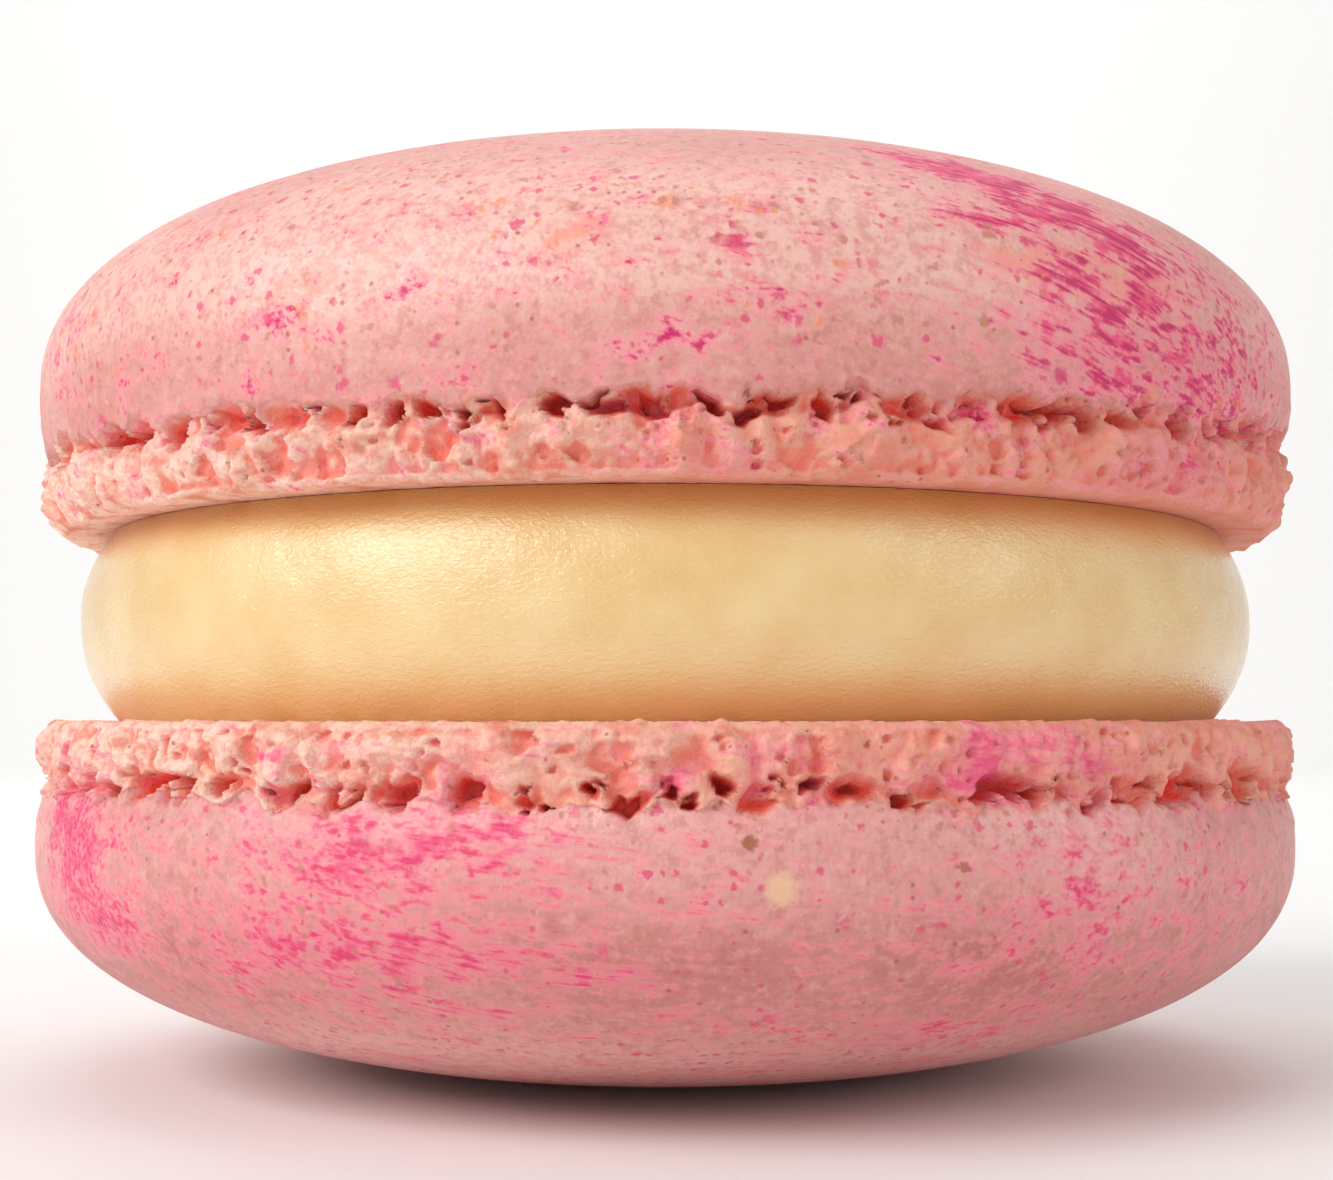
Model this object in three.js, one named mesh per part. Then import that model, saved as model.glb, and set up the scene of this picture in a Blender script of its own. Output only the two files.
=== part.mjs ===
// A French macaron: two domed almond meringue shells, each with a frilled foot, and a thick
// disc of vanilla cream between them. Millimetres, +Z up, origin under the middle of the
// small flat spot that the lower shell rests on. The near side of the frilled edge is -Y.
import * as THREE from "three";

// Heights, stacked from the resting spot up to the seams
const LOWER_HEIGHT = 12.2;
const CREAM_THICKNESS = 6.4;
const SEAM_GAP = 0.02;

// The upper shell sits a little open towards -Y
const UPPER_LEAN = THREE.MathUtils.degToRad(-1);

// One shell, measured up from the flat face that the cream sticks to. The dome is a
// superellipse over its equator, and the foot is the band between that face and the skin's
// torn lower edge. footSwing makes the foot taller or lower round the turn.
const UPPER_SHELL = {
  domeRadius: 22.48,
  equatorHeight: 4.7,
  domeRise: 8.79,
  riseExponent: 2.46,
  radiusExponent: 2.0,
  crownHeight: 13.45,
  skinEdgeRadius: 22.1,
  footRadius: 22.05,
  footHeight: 2.9,
  footSwing: { cosine: 0.3, doubleCosine: 0.2, sine: 0.55 },
  edgeRounding: 0.6,
  edgeRoundingHeight: 1.0,
  cavities: 62,
  pores: 74,
  draw: 1,
};
const LOWER_SHELL = {
  domeRadius: 22.4,
  equatorHeight: 4.06,
  domeRise: 8.32,
  riseExponent: 2.41,
  radiusExponent: 2.2,
  crownHeight: LOWER_HEIGHT,
  skinEdgeRadius: 22.0,
  footRadius: 22.2,
  footHeight: 2.25,
  footSwing: { cosine: 0.05, doubleCosine: 0.06, sine: 0.08 },
  edgeRounding: 0.4,
  edgeRoundingHeight: 0.7,
  cavities: 66,
  pores: 60,
  draw: 21,
};

// The foam of a foot: cavities torn open under the skin, smaller pores all over the wall,
// upright frills and lumps of crumb between them
const FOAM = {
  scatter: 0.8,
  smallestCavity: 0.5,
  largestCavity: 1.0,
  cavityBias: 1.4,
  cavityDepth: 1.2,
  cavityBelowSkin: 0.5,
  smallestPore: 0.4,
  largestPore: 0.62,
  poreDepth: 0.75,
  poreZone: [0.16, 0.66],
  grooveDepth: 0.24,
  grooveMiddle: 0.88,
  grooveWidth: 0.1,
  frillDepth: 0.16,
  frillTurns: [37, 53, 71],
  crumbDepth: 0.2,
  crumbCells: 104,
  crumbHeight: 0.75,
  skinOverhang: 0.14,
  skinThickness: 0.22,
  skinTear: 0.18,
  tearTurns: [23, 41, 67],
};

// The cream: sticking radii under each shell, and the bulge between them
const CREAM = {
  lowerSeamRadius: 19.6,
  upperSeamRadius: 19.9,
  bulgeRadius: 20.98,
  bulgeHeight: 3.4,
  bulgeExponent: 2.2,
  unevenness: 0.07,
  unevenTurns: [3, 7, 11],
  draw: 41,
};

// How finely the rings are divided: points round the turn, and rows up each stretch
const FOOT_POINTS = 240;
const FOOT_ROWS = 8;
const DOME_POINTS = [240, 120, 120, 80, 80, 60, 60, 40, 40];
const BASE_POINTS = [20, 80];
const CREAM_POINTS = 80;
const CREAM_CORE_POINTS = 20;
const CREAM_ROWS = 8;

const FULL_TURN = 2 * Math.PI;
const { lerp } = THREE.MathUtils;

// A repeatable number from 0 to 1 for item i of a named draw
function fraction(i, draw) {
  const s = Math.sin(i * 12.9898 + draw * 78.233) * 43758.5453;
  return s - Math.floor(s);
}

// A wavy line round the turn, from about -1 to 1, made of a few whole-numbered waves
function waves(azimuth, turns, draw) {
  const sum = turns.reduce(
    (total, turn, i) => total + Math.sin(turn * azimuth + FULL_TURN * fraction(i, draw)),
    0,
  );
  return sum / turns.length;
}

// Height of the foot above the flat face, without the tear of the skin's edge
function footHeightAt(shell, azimuth) {
  const { cosine, doubleCosine, sine } = shell.footSwing;
  const swing =
    cosine * Math.cos(azimuth) + doubleCosine * Math.cos(2 * azimuth) + sine * Math.sin(azimuth);
  return shell.footHeight + swing;
}

// Height of the skin's torn edge above the flat face
function skinEdgeHeight(shell, azimuth) {
  return footHeightAt(shell, azimuth) + FOAM.skinTear * waves(azimuth, FOAM.tearTurns, shell.draw);
}

// Smooth seeded lumps on a lattice that wraps round the foot, from about -1 to 1
function crumb(azimuth, height, draw) {
  const across = (azimuth / FULL_TURN) * FOAM.crumbCells;
  const up = height / FOAM.crumbHeight;
  const column = Math.floor(across);
  const row = Math.floor(up);
  const ease = (t) => t * t * (3 - 2 * t);
  const knot = (c, r) => 2 * fraction((c % FOAM.crumbCells) + r * FOAM.crumbCells, draw) - 1;
  const level = (r) => lerp(knot(column, r), knot(column + 1, r), ease(across - column));
  return lerp(level(row), level(row + 1), ease(up - row));
}

// The bubbles of one foot, each spread evenly round the turn with a seeded scatter: large
// cavities that hang from the skin's edge, and pores at any height of the wall
function footBubbles(shell) {
  const scatter = (i, count, draw) => (FULL_TURN * (i + FOAM.scatter * fraction(i, draw))) / count;
  const cavities = Array.from({ length: shell.cavities }, (_, i) => {
    const azimuth = scatter(i, shell.cavities, shell.draw + 1);
    const size = fraction(i, shell.draw + 2) ** FOAM.cavityBias;
    const radius = lerp(FOAM.smallestCavity, FOAM.largestCavity, size);
    const height = skinEdgeHeight(shell, azimuth) - FOAM.cavityBelowSkin * radius;
    return { azimuth, radius, height, depth: FOAM.cavityDepth * radius };
  });
  const pores = Array.from({ length: shell.pores }, (_, i) => {
    const azimuth = scatter(i, shell.pores, shell.draw + 3);
    const radius = lerp(FOAM.smallestPore, FOAM.largestPore, fraction(i, shell.draw + 4));
    const share = lerp(...FOAM.poreZone, fraction(i, shell.draw + 5));
    const height = share * skinEdgeHeight(shell, azimuth);
    return { azimuth, radius, height, depth: FOAM.poreDepth * radius };
  });
  return [...cavities, ...pores];
}

// How far the bubbles open into the foot at a point of its wall
function bubbleDepth(shell, bubbles, azimuth, height) {
  let deepest = 0;
  for (const bubble of bubbles) {
    const turn = Math.abs(azimuth - bubble.azimuth);
    const across = Math.min(turn, FULL_TURN - turn) * shell.footRadius;
    const distance = Math.hypot(across, height - bubble.height) / bubble.radius;
    if (distance < 1) deepest = Math.max(deepest, bubble.depth * Math.sqrt(1 - distance ** 2));
  }
  return deepest;
}

// Radius of the foot's wall, with its rounded bottom edge, groove, frills, crumb and bubbles
function footRadius(shell, bubbles, azimuth, height) {
  const share = height / skinEdgeHeight(shell, azimuth);
  const shortOfRound = Math.max(0, 1 - height / shell.edgeRoundingHeight);
  const groove = FOAM.grooveDepth * Math.exp(-(((share - FOAM.grooveMiddle) / FOAM.grooveWidth) ** 2));
  const inWall = Math.sin(Math.PI * Math.min(1, share)) ** 0.5;
  const frill = FOAM.frillDepth * waves(azimuth, FOAM.frillTurns, shell.draw + 6);
  const lump = FOAM.crumbDepth * crumb(azimuth, height, shell.draw + 7);
  const bubble = bubbleDepth(shell, bubbles, azimuth, height);
  const wall = shell.footRadius - shell.edgeRounding * shortOfRound ** 2 - groove;
  return wall + inWall * (frill + lump) - bubble;
}

// Radius of the smooth skin at a height: the dome, or the tuck below its equator
function skinRadius(shell, azimuth, height) {
  const above = height - shell.equatorHeight;
  if (above >= 0) {
    const rise = Math.min(1, above / shell.domeRise);
    return shell.domeRadius * (1 - rise ** shell.riseExponent) ** (1 / shell.radiusExponent);
  }
  const tuck = above / (shell.equatorHeight - footHeightAt(shell, azimuth));
  return shell.domeRadius - (shell.domeRadius - shell.skinEdgeRadius) * tuck ** 2;
}

// A ring of points round the Z axis, from radius and height given as functions of azimuth
function ring(points, radiusAt, heightAt) {
  return Array.from({ length: points }, (_, i) => {
    const azimuth = (FULL_TURN * i) / points;
    const radius = radiusAt(azimuth);
    return new THREE.Vector3(radius * Math.cos(azimuth), radius * Math.sin(azimuth), heightAt(azimuth));
  });
}

// A closed skin over rings listed from the lowest pole to the highest. Neighbouring rings
// may hold different numbers of points, and a ring of one point is a pole.
class RingGeometry extends THREE.BufferGeometry {
  constructor(rings) {
    super();
    const points = rings.flat();
    const triangles = [];
    let start = 0;
    for (let k = 0; k + 1 < rings.length; k++) {
      const next = start + rings[k].length;
      triangles.push(...RingGeometry.band(start, rings[k].length, next, rings[k + 1].length));
      start = next;
    }
    this.setFromPoints(points);
    this.setIndex(triangles);
    this.computeVertexNormals();
  }

  // Triangles between two rings, always stepping along the ring whose next point comes first
  static band(below, belowCount, above, aboveCount) {
    const triangles = [];
    let i = belowCount === 1 ? 1 : 0;
    let j = aboveCount === 1 ? 1 : 0;
    while (i < belowCount || j < aboveCount) {
      const stepBelow = j >= aboveCount || (i < belowCount && (i + 1) / belowCount <= (j + 1) / aboveCount);
      const from = below + (i % belowCount);
      const to = above + (j % aboveCount);
      if (stepBelow) {
        i += 1;
        triangles.push(from, below + (i % belowCount), to);
      } else {
        j += 1;
        triangles.push(from, above + (j % aboveCount), to);
      }
    }
    return triangles;
  }
}

// The rings of a shell, from the middle of its flat face, round its foot, to its crown
function shellRings(shell) {
  const bubbles = footBubbles(shell);
  const edgeHeight = (azimuth) => skinEdgeHeight(shell, azimuth);
  const innerRadius = shell.footRadius - shell.edgeRounding;
  const rings = [[new THREE.Vector3(0, 0, 0)]];
  BASE_POINTS.forEach((points, k) => {
    const radius = (innerRadius * (k + 1)) / (BASE_POINTS.length + 1);
    rings.push(ring(points, () => radius, () => 0));
  });
  rings.push(ring(FOOT_POINTS, () => innerRadius, () => 0));
  for (let row = 1; row < FOOT_ROWS; row++) {
    const share = row / FOOT_ROWS;
    rings.push(
      ring(
        FOOT_POINTS,
        (azimuth) => footRadius(shell, bubbles, azimuth, share * edgeHeight(azimuth)),
        (azimuth) => share * edgeHeight(azimuth),
      ),
    );
  }
  rings.push(
    ring(
      FOOT_POINTS,
      (azimuth) => footRadius(shell, bubbles, azimuth, edgeHeight(azimuth)) - FOAM.skinOverhang,
      edgeHeight,
    ),
  );
  DOME_POINTS.forEach((points, k) => {
    const edgeAt = k === 0 ? skinEdgeHeight : footHeightAt;
    rings.push(skinRing(shell, points, k / (DOME_POINTS.length - 1), edgeAt));
  });
  rings.push([new THREE.Vector3(0, 0, shell.crownHeight)]);
  return rings;
}

// One ring of the skin, at a share of the way from its edge to its crown. Rows close up
// towards the crown, so that each turns through a like angle.
function skinRing(shell, points, share, edgeAt) {
  const heightAt = (azimuth) => {
    const lowest = edgeAt(shell, azimuth) + FOAM.skinThickness * (1 - share);
    return lowest + (shell.crownHeight - lowest) * Math.sin((Math.PI / 2) * share);
  };
  return ring(points, (azimuth) => skinRadius(shell, azimuth, heightAt(azimuth)), heightAt);
}

// The rings of the cream: flat where it sticks, and bulging between. Its top follows the
// lean of the upper shell.
function creamRings() {
  const uneven = (azimuth) => CREAM.unevenness * waves(azimuth, CREAM.unevenTurns, CREAM.draw);
  const topHeight = (azimuth, radius) => CREAM_THICKNESS + Math.tan(UPPER_LEAN) * radius * Math.sin(azimuth);
  const bulge = (share) => {
    const middle = CREAM.bulgeHeight / CREAM_THICKNESS;
    const seam = share < middle ? CREAM.lowerSeamRadius : CREAM.upperSeamRadius;
    const away = share < middle ? 1 - share / middle : (share - middle) / (1 - middle);
    return CREAM.bulgeRadius - (CREAM.bulgeRadius - seam) * away ** CREAM.bulgeExponent;
  };
  const rings = [[new THREE.Vector3(0, 0, 0)]];
  rings.push(ring(CREAM_CORE_POINTS, () => CREAM.lowerSeamRadius / 2, () => 0));
  for (let row = 0; row <= CREAM_ROWS; row++) {
    const share = (1 - Math.cos((Math.PI * row) / CREAM_ROWS)) / 2;
    const radiusAt = (azimuth) => bulge(share) + uneven(azimuth);
    rings.push(ring(CREAM_POINTS, radiusAt, (azimuth) => share * topHeight(azimuth, radiusAt(azimuth))));
  }
  const half = CREAM.upperSeamRadius / 2;
  rings.push(ring(CREAM_CORE_POINTS, () => half, (azimuth) => topHeight(azimuth, half)));
  rings.push([new THREE.Vector3(0, 0, CREAM_THICKNESS)]);
  return rings;
}

// A named mesh with its own material
function piece(name, rings, color, roughness) {
  const material = new THREE.MeshStandardMaterial({ color, roughness, metalness: 0 });
  const mesh = new THREE.Mesh(new RingGeometry(rings), material);
  mesh.name = name;
  return mesh;
}

const macaron = new THREE.Group();

const lowerShell = piece("lower_shell", shellRings(LOWER_SHELL), 0xe8a9a4, 0.6);
lowerShell.rotation.x = Math.PI;
lowerShell.position.z = LOWER_HEIGHT;
macaron.add(lowerShell);

const creamFilling = piece("cream_filling", creamRings(), 0xf0d9a6, 0.3);
creamFilling.position.z = LOWER_HEIGHT + SEAM_GAP;
macaron.add(creamFilling);

const upperShell = piece("upper_shell", shellRings(UPPER_SHELL), 0xeeb2a8, 0.6);
upperShell.rotation.x = UPPER_LEAN;
upperShell.position.y = UPPER_SHELL.equatorHeight * Math.sin(UPPER_LEAN);
upperShell.position.z = LOWER_HEIGHT + CREAM_THICKNESS + 2 * SEAM_GAP;
macaron.add(upperShell);

export default macaron;
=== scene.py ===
"""A French macaron: two pink meringue shells with foam feet, and the vanilla cream between them."""

import logging
import math
from dataclasses import dataclass, field, replace
from enum import Enum
from itertools import product

import bpy
import numpy as np
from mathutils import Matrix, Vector


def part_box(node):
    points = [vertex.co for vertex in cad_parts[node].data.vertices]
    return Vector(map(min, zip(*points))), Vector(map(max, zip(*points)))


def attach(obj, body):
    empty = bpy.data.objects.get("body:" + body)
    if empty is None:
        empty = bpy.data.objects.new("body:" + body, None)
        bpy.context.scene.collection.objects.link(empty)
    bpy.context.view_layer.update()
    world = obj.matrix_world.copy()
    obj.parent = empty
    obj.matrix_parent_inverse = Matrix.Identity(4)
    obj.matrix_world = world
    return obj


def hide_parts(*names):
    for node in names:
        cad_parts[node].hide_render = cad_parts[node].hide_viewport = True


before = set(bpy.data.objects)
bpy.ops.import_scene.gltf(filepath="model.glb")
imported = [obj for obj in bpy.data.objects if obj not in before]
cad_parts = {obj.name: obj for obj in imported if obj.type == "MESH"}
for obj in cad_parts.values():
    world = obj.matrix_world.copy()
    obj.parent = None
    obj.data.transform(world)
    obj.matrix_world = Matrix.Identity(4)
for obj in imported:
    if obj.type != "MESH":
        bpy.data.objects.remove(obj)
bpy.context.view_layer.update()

BODY = "root"
FULL_TURN = 2 * math.pi
MM = 0.001
HASH_ITEM = 12.9898
HASH_DRAW = 78.233
HASH_SCALE = 43758.5453

Array = np.ndarray
Span = tuple[float, float]
Triple = tuple[float, float, float]
Colour = Triple
log = logging.getLogger("macaron")


class Half(Enum):
    """Which of the two shells a piece is."""

    UPPER = "upper_shell"
    LOWER = "lower_shell"


def fraction(item: Array, draw: int) -> Array:
    """Gives a repeatable number from 0 to 1 for each item of a named draw.

    Args:
        item: whole numbers that tell the items apart.
        draw: whole number that tells the draws apart.

    Returns:
        One number from 0 to 1 for each item.
    """
    value = np.sin(np.asarray(item, float) * HASH_ITEM + draw * HASH_DRAW) * HASH_SCALE
    return value - np.floor(value)


def waves(azimuth: Array, turns: tuple[int, ...], draw: int) -> Array:
    """Gives a wavy line round the turn, from about -1 to 1.

    Args:
        azimuth: angles round the vertical axis, in radians.
        turns: how many times each wave repeats round the turn.
        draw: the draw that sets where each wave starts.

    Returns:
        The mean of the waves at each angle.
    """
    starts = FULL_TURN * fraction(np.arange(len(turns)), draw)
    return sum(np.sin(turn * azimuth + start) for turn, start in zip(turns, starts)) / len(turns)


def smooth_step(value: Array, low: float, high: float) -> Array:
    """Eases from 0 at low to 1 at high.

    Args:
        value: the numbers to ease.
        low: where the result leaves 0.
        high: where the result reaches 1.

    Returns:
        Numbers from 0 to 1.
    """
    share = np.clip((value - low) / (high - low), 0, 1)
    return share * share * (3 - 2 * share)


def soften(grid: Array, reach: int) -> Array:
    """Blurs a grid that closes on itself along its rows.

    Args:
        grid: the values, one row for each height.
        reach: how many neighbours on each side count.

    Returns:
        The blurred values, in the grid's shape.
    """
    steps = range(-reach, reach + 1)
    along = sum(np.roll(grid, step, axis=1) for step in steps) / len(steps)
    padded = np.pad(along, ((reach, reach), (0, 0)), mode="edge")
    return sum(padded[reach + step : reach + step + len(grid)] for step in steps) / len(steps)


class Grain:
    """Seeded smooth noise in space, for relief that is worked out in arrays."""

    SIZE = 256
    REACH = 1.6

    def __init__(self, seed: int) -> None:
        """Draws the noise's slopes.

        Args:
            seed: whole number that sets the pattern.
        """
        rng = np.random.default_rng(seed)
        order = rng.permutation(self.SIZE)
        self.order = np.concatenate([order, order])
        slopes = rng.normal(size=(self.SIZE, 3))
        self.slopes = slopes / np.linalg.norm(slopes, axis=1, keepdims=True)

    def at(self, points: Array, cell: float) -> Array:
        """Reads the noise.

        Args:
            points: places in metres, with x, y and z along the last axis.
            cell: the size of the noise's lumps, in metres.

        Returns:
            A number from about -1 to 1 for each place.
        """
        places = points / cell
        corner_low = np.floor(places).astype(int)
        part = places - corner_low
        ease = part**3 * (part * (part * 6 - 15) + 10)
        total = np.zeros(points.shape[:-1])
        for corner in product((0, 1), repeat=3):
            key = (corner_low + corner) % self.SIZE
            pick = self.order[self.order[self.order[key[..., 0]] + key[..., 1]] + key[..., 2]]
            weight = np.prod(np.where(corner, ease, 1 - ease), axis=-1)
            total += weight * ((part - corner) * self.slopes[pick]).sum(-1)
        return total * self.REACH


class RingSkin:
    """A closed skin over rings of points, from its lowest pole to its highest.

    Neighbouring rings hold the same number of points, or one holds twice as many as the other,
    and a ring of one point is a pole.
    """

    def __init__(self) -> None:
        """Starts with no rings."""
        self.rings: list[Array] = []
        self.marks: dict[str, list[Array]] = {}

    def add(self, ring: Array, **marks: Array) -> None:
        """Adds the next ring.

        Args:
            ring: its points, one row each, in metres.
            marks: for each named mark, a number for each point.
        """
        self.rings.append(ring)
        for name, values in marks.items():
            self.marks.setdefault(name, []).append(np.broadcast_to(values, len(ring)))

    @staticmethod
    def band(below: int, below_count: int, above: int, above_count: int) -> list[list[int]]:
        """Makes the faces between two neighbouring rings.

        Args:
            below: index of the lower ring's first point.
            below_count: how many points the lower ring has.
            above: index of the upper ring's first point.
            above_count: how many points the upper ring has.

        Returns:
            The faces as lists of point indices, with their fronts facing out.
        """
        if below_count == above_count:
            i = np.arange(below_count)
            j = (i + 1) % below_count
            return np.stack([below + i, below + j, above + j, above + i], 1).tolist()
        if below_count == 1:
            i = np.arange(above_count)
            j = (i + 1) % above_count
            return np.stack([np.full_like(i, below), above + j, above + i], 1).tolist()
        if above_count == 1:
            i = np.arange(below_count)
            j = (i + 1) % below_count
            return np.stack([below + i, below + j, np.full_like(i, above)], 1).tolist()
        if below_count > above_count:
            i = np.arange(above_count)
            j = (i + 1) % above_count
            first, middle, last = below + 2 * i, below + 2 * i + 1, below + (2 * i + 2) % below_count
            left = np.stack([first, middle, above + i], 1)
            top = np.stack([middle, above + j, above + i], 1)
            right = np.stack([middle, last, above + j], 1)
            return np.concatenate([left, top, right]).tolist()
        i = np.arange(below_count)
        j = (i + 1) % below_count
        first, middle, last = above + 2 * i, above + 2 * i + 1, above + (2 * i + 2) % above_count
        left = np.stack([below + i, middle, first], 1)
        base = np.stack([below + i, below + j, middle], 1)
        right = np.stack([below + j, last, middle], 1)
        return np.concatenate([left, base, right]).tolist()

    def build(self, name: str) -> bpy.types.Object:
        """Makes the mesh object, smooth shaded, with its marks as attributes.

        Args:
            name: the piece's name.

        Returns:
            The object, linked to the scene.
        """
        faces: list[list[int]] = []
        start = 0
        for ring, following in zip(self.rings, self.rings[1:]):
            faces += self.band(start, len(ring), start + len(ring), len(following))
            start += len(ring)
        mesh = bpy.data.meshes.new(name)
        mesh.from_pydata(np.concatenate(self.rings).tolist(), [], faces)
        mesh.shade_smooth()
        for mark, rows in self.marks.items():
            attribute = mesh.attributes.new(mark, "FLOAT", "POINT")
            attribute.data.foreach_set("value", np.concatenate(rows).astype(np.float32))
        piece = bpy.data.objects.new(name, mesh)
        bpy.context.scene.collection.objects.link(piece)
        return piece


@dataclass(frozen=True)
class Dab:
    """A dab of colour on a shell.

    turn is in degrees round the macaron, with the near side at -90. along is the way from the
    shell's widest line, positive towards its crown and negative towards its foot. across and
    tall are half sizes. All three are in millimetres.
    """

    turn: float
    along: float
    across: float
    tall: float
    strength: float


@dataclass(frozen=True)
class Spot:
    """A single round mark on a shell, placed and measured like a dab."""

    turn: float
    along: float
    radius: float
    colour: Colour
    strength: float


def dab_cover(dabs: tuple[Dab, ...], turn: Array, along: Array, radius: Array) -> Array:
    """Adds up dabs.

    Args:
        dabs: the dabs.
        turn: angles round the whole macaron, in radians.
        along: way from the widest line, in metres.
        radius: distances from the axis, in metres.

    Returns:
        Strength from 0 to 1 at each place.
    """
    left = np.ones(np.broadcast(turn, along).shape)
    for dab in dabs:
        aside = (turn - math.radians(dab.turn) + math.pi) % FULL_TURN - math.pi
        far = (aside * radius / (dab.across * MM)) ** 2
        far = far + ((along - dab.along * MM) / (dab.tall * MM)) ** 2
        left = left * (1 - dab.strength * np.exp(-far / 2))
    return 1 - left


@dataclass(frozen=True)
class Burst:
    """A burst bubble: its place on the wall, its half sizes, its depth and how square its cup is."""

    azimuth: float
    height: float
    across: float
    tall: float
    depth: float
    squareness: float = 2.6
    undercut: float = 0.0


@dataclass(frozen=True)
class BubbleKind:
    """One size of small burst bubbles: how many, how large, how deep and where on the wall."""

    count: int
    smallest: float
    largest: float
    depth: float
    lowest: float
    highest: float


@dataclass
class Foam:
    """The foam of a foot, between the flat face and the torn edge of the skin."""

    scatter: float = 0.8
    smallest_cavity: float = 0.5 * MM
    largest_cavity: float = 1.0 * MM
    cavity_bias: float = 1.4
    cavity_depths: Span = (0.3, 2.1)
    cavity_depth_bias: float = 1.3
    cavity_widths: Span = (0.45, 1.25)
    cavity_talls: Span = (0.4, 0.95)
    cavity_below_skin: float = 0.5
    cavity_undercut: float = 0.6
    undercut_zone: Span = (-0.4, 1.0)
    smallest_pore: float = 0.4 * MM
    largest_pore: float = 0.62 * MM
    pore_depths: Span = (0.15, 0.85)
    pore_depth_bias: float = 1.5
    pore_squareness: float = 4.5
    pore_zone: Span = (0.16, 0.66)
    groove_depth: float = 0.24 * MM
    groove_middle: float = 0.88
    groove_width: float = 0.1
    frill_depth: float = 0.16 * MM
    frill_turns: tuple[int, ...] = (37, 53, 71)
    crumb_depth: float = 0.2 * MM
    crumb_cells: int = 104
    crumb_height: float = 0.75 * MM
    skin_overhang: float = 0.13 * MM
    overhang_rows: tuple[float, ...] = (0.35, 0.75, 1.0)
    overhang_level: Span = (-0.5, 0.3)
    skin_thickness: float = 0.22 * MM
    skin_tear: float = 0.18 * MM
    tear_turns: tuple[int, ...] = (23, 41, 67)
    fine_kinds: tuple[BubbleKind, ...] = (
        BubbleKind(64, 0.2 * MM, 0.4 * MM, 1.7, 0.76, 1.02),
        BubbleKind(80, 0.16 * MM, 0.32 * MM, 0.9, 0.15, 0.9),
        BubbleKind(460, 0.08 * MM, 0.17 * MM, 1.7, 0.1, 1.1),
    )
    fine_widths: Span = (0.7, 1.3)
    ridge_level: float = 0.22
    lump_cell: float = 1.3 * MM
    lump_stretch: float = 0.6
    lump_depth: float = 0.62 * MM
    nub_cell: float = 0.5 * MM
    nub_depth: float = 0.22 * MM
    grit_cell: float = 0.19 * MM
    grit_depth: float = 0.03 * MM
    froth_cell: float = 2.0 * MM
    froth_level: Span = (-0.5, 0.5)
    froth_floor: float = 0.4
    lip_crumb: float = 0.3
    warp_cell: float = 0.5 * MM
    warp_reach: float = 0.24 * MM
    lobe_cell: float = 0.95 * MM
    lobe_reach: float = 0.42 * MM
    ragged_cell: float = 0.3 * MM
    ragged_reach: float = 0.12 * MM
    crevice_cell: float = 0.85 * MM
    crevice_depth: float = 1.3 * MM
    crevice_stretch: float = 1.25
    crevice_nubs: float = 0.5
    crevice_fray: float = 0.3
    crevice_level: Span = (0.1, 0.42)
    crevice_zone: Span = (0.62, 0.86)
    band: Span = (0.05, 0.13)
    band_proud: float = 0.05 * MM
    band_wave: float = 0.09 * MM
    band_cell: float = 0.8 * MM
    rim_crumb: float = 0.16 * MM
    rim_cell: float = 0.45 * MM
    rim_level: float = 0.05
    rim_reach: float = 0.2

    def crumb(self, azimuth: Array, height: Array, draw: int) -> Array:
        """Gives smooth seeded lumps on a lattice that wraps round the foot.

        Args:
            azimuth: angles round the shell, from 0 to a full turn.
            height: heights above the flat face.
            draw: the draw that sets the pattern.

        Returns:
            Numbers from about -1 to 1.
        """
        across = azimuth / FULL_TURN * self.crumb_cells
        up = height / self.crumb_height
        column, row = np.floor(across), np.floor(up)

        def ease(share: Array) -> Array:
            """Eases a share from 0 to 1."""
            return share * share * (3 - 2 * share)

        def knot(at_column: Array, at_row: Array) -> Array:
            """Gives the lattice's value at one of its knots."""
            return 2 * fraction(at_column % self.crumb_cells + at_row * self.crumb_cells, draw) - 1

        def level(at_row: Array) -> Array:
            """Blends the two knots on either side, in one row."""
            left, right = knot(column, at_row), knot(column + 1, at_row)
            return left + (right - left) * ease(across - column)

        low, high = level(row), level(row + 1)
        return low + (high - low) * ease(up - row)


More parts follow.
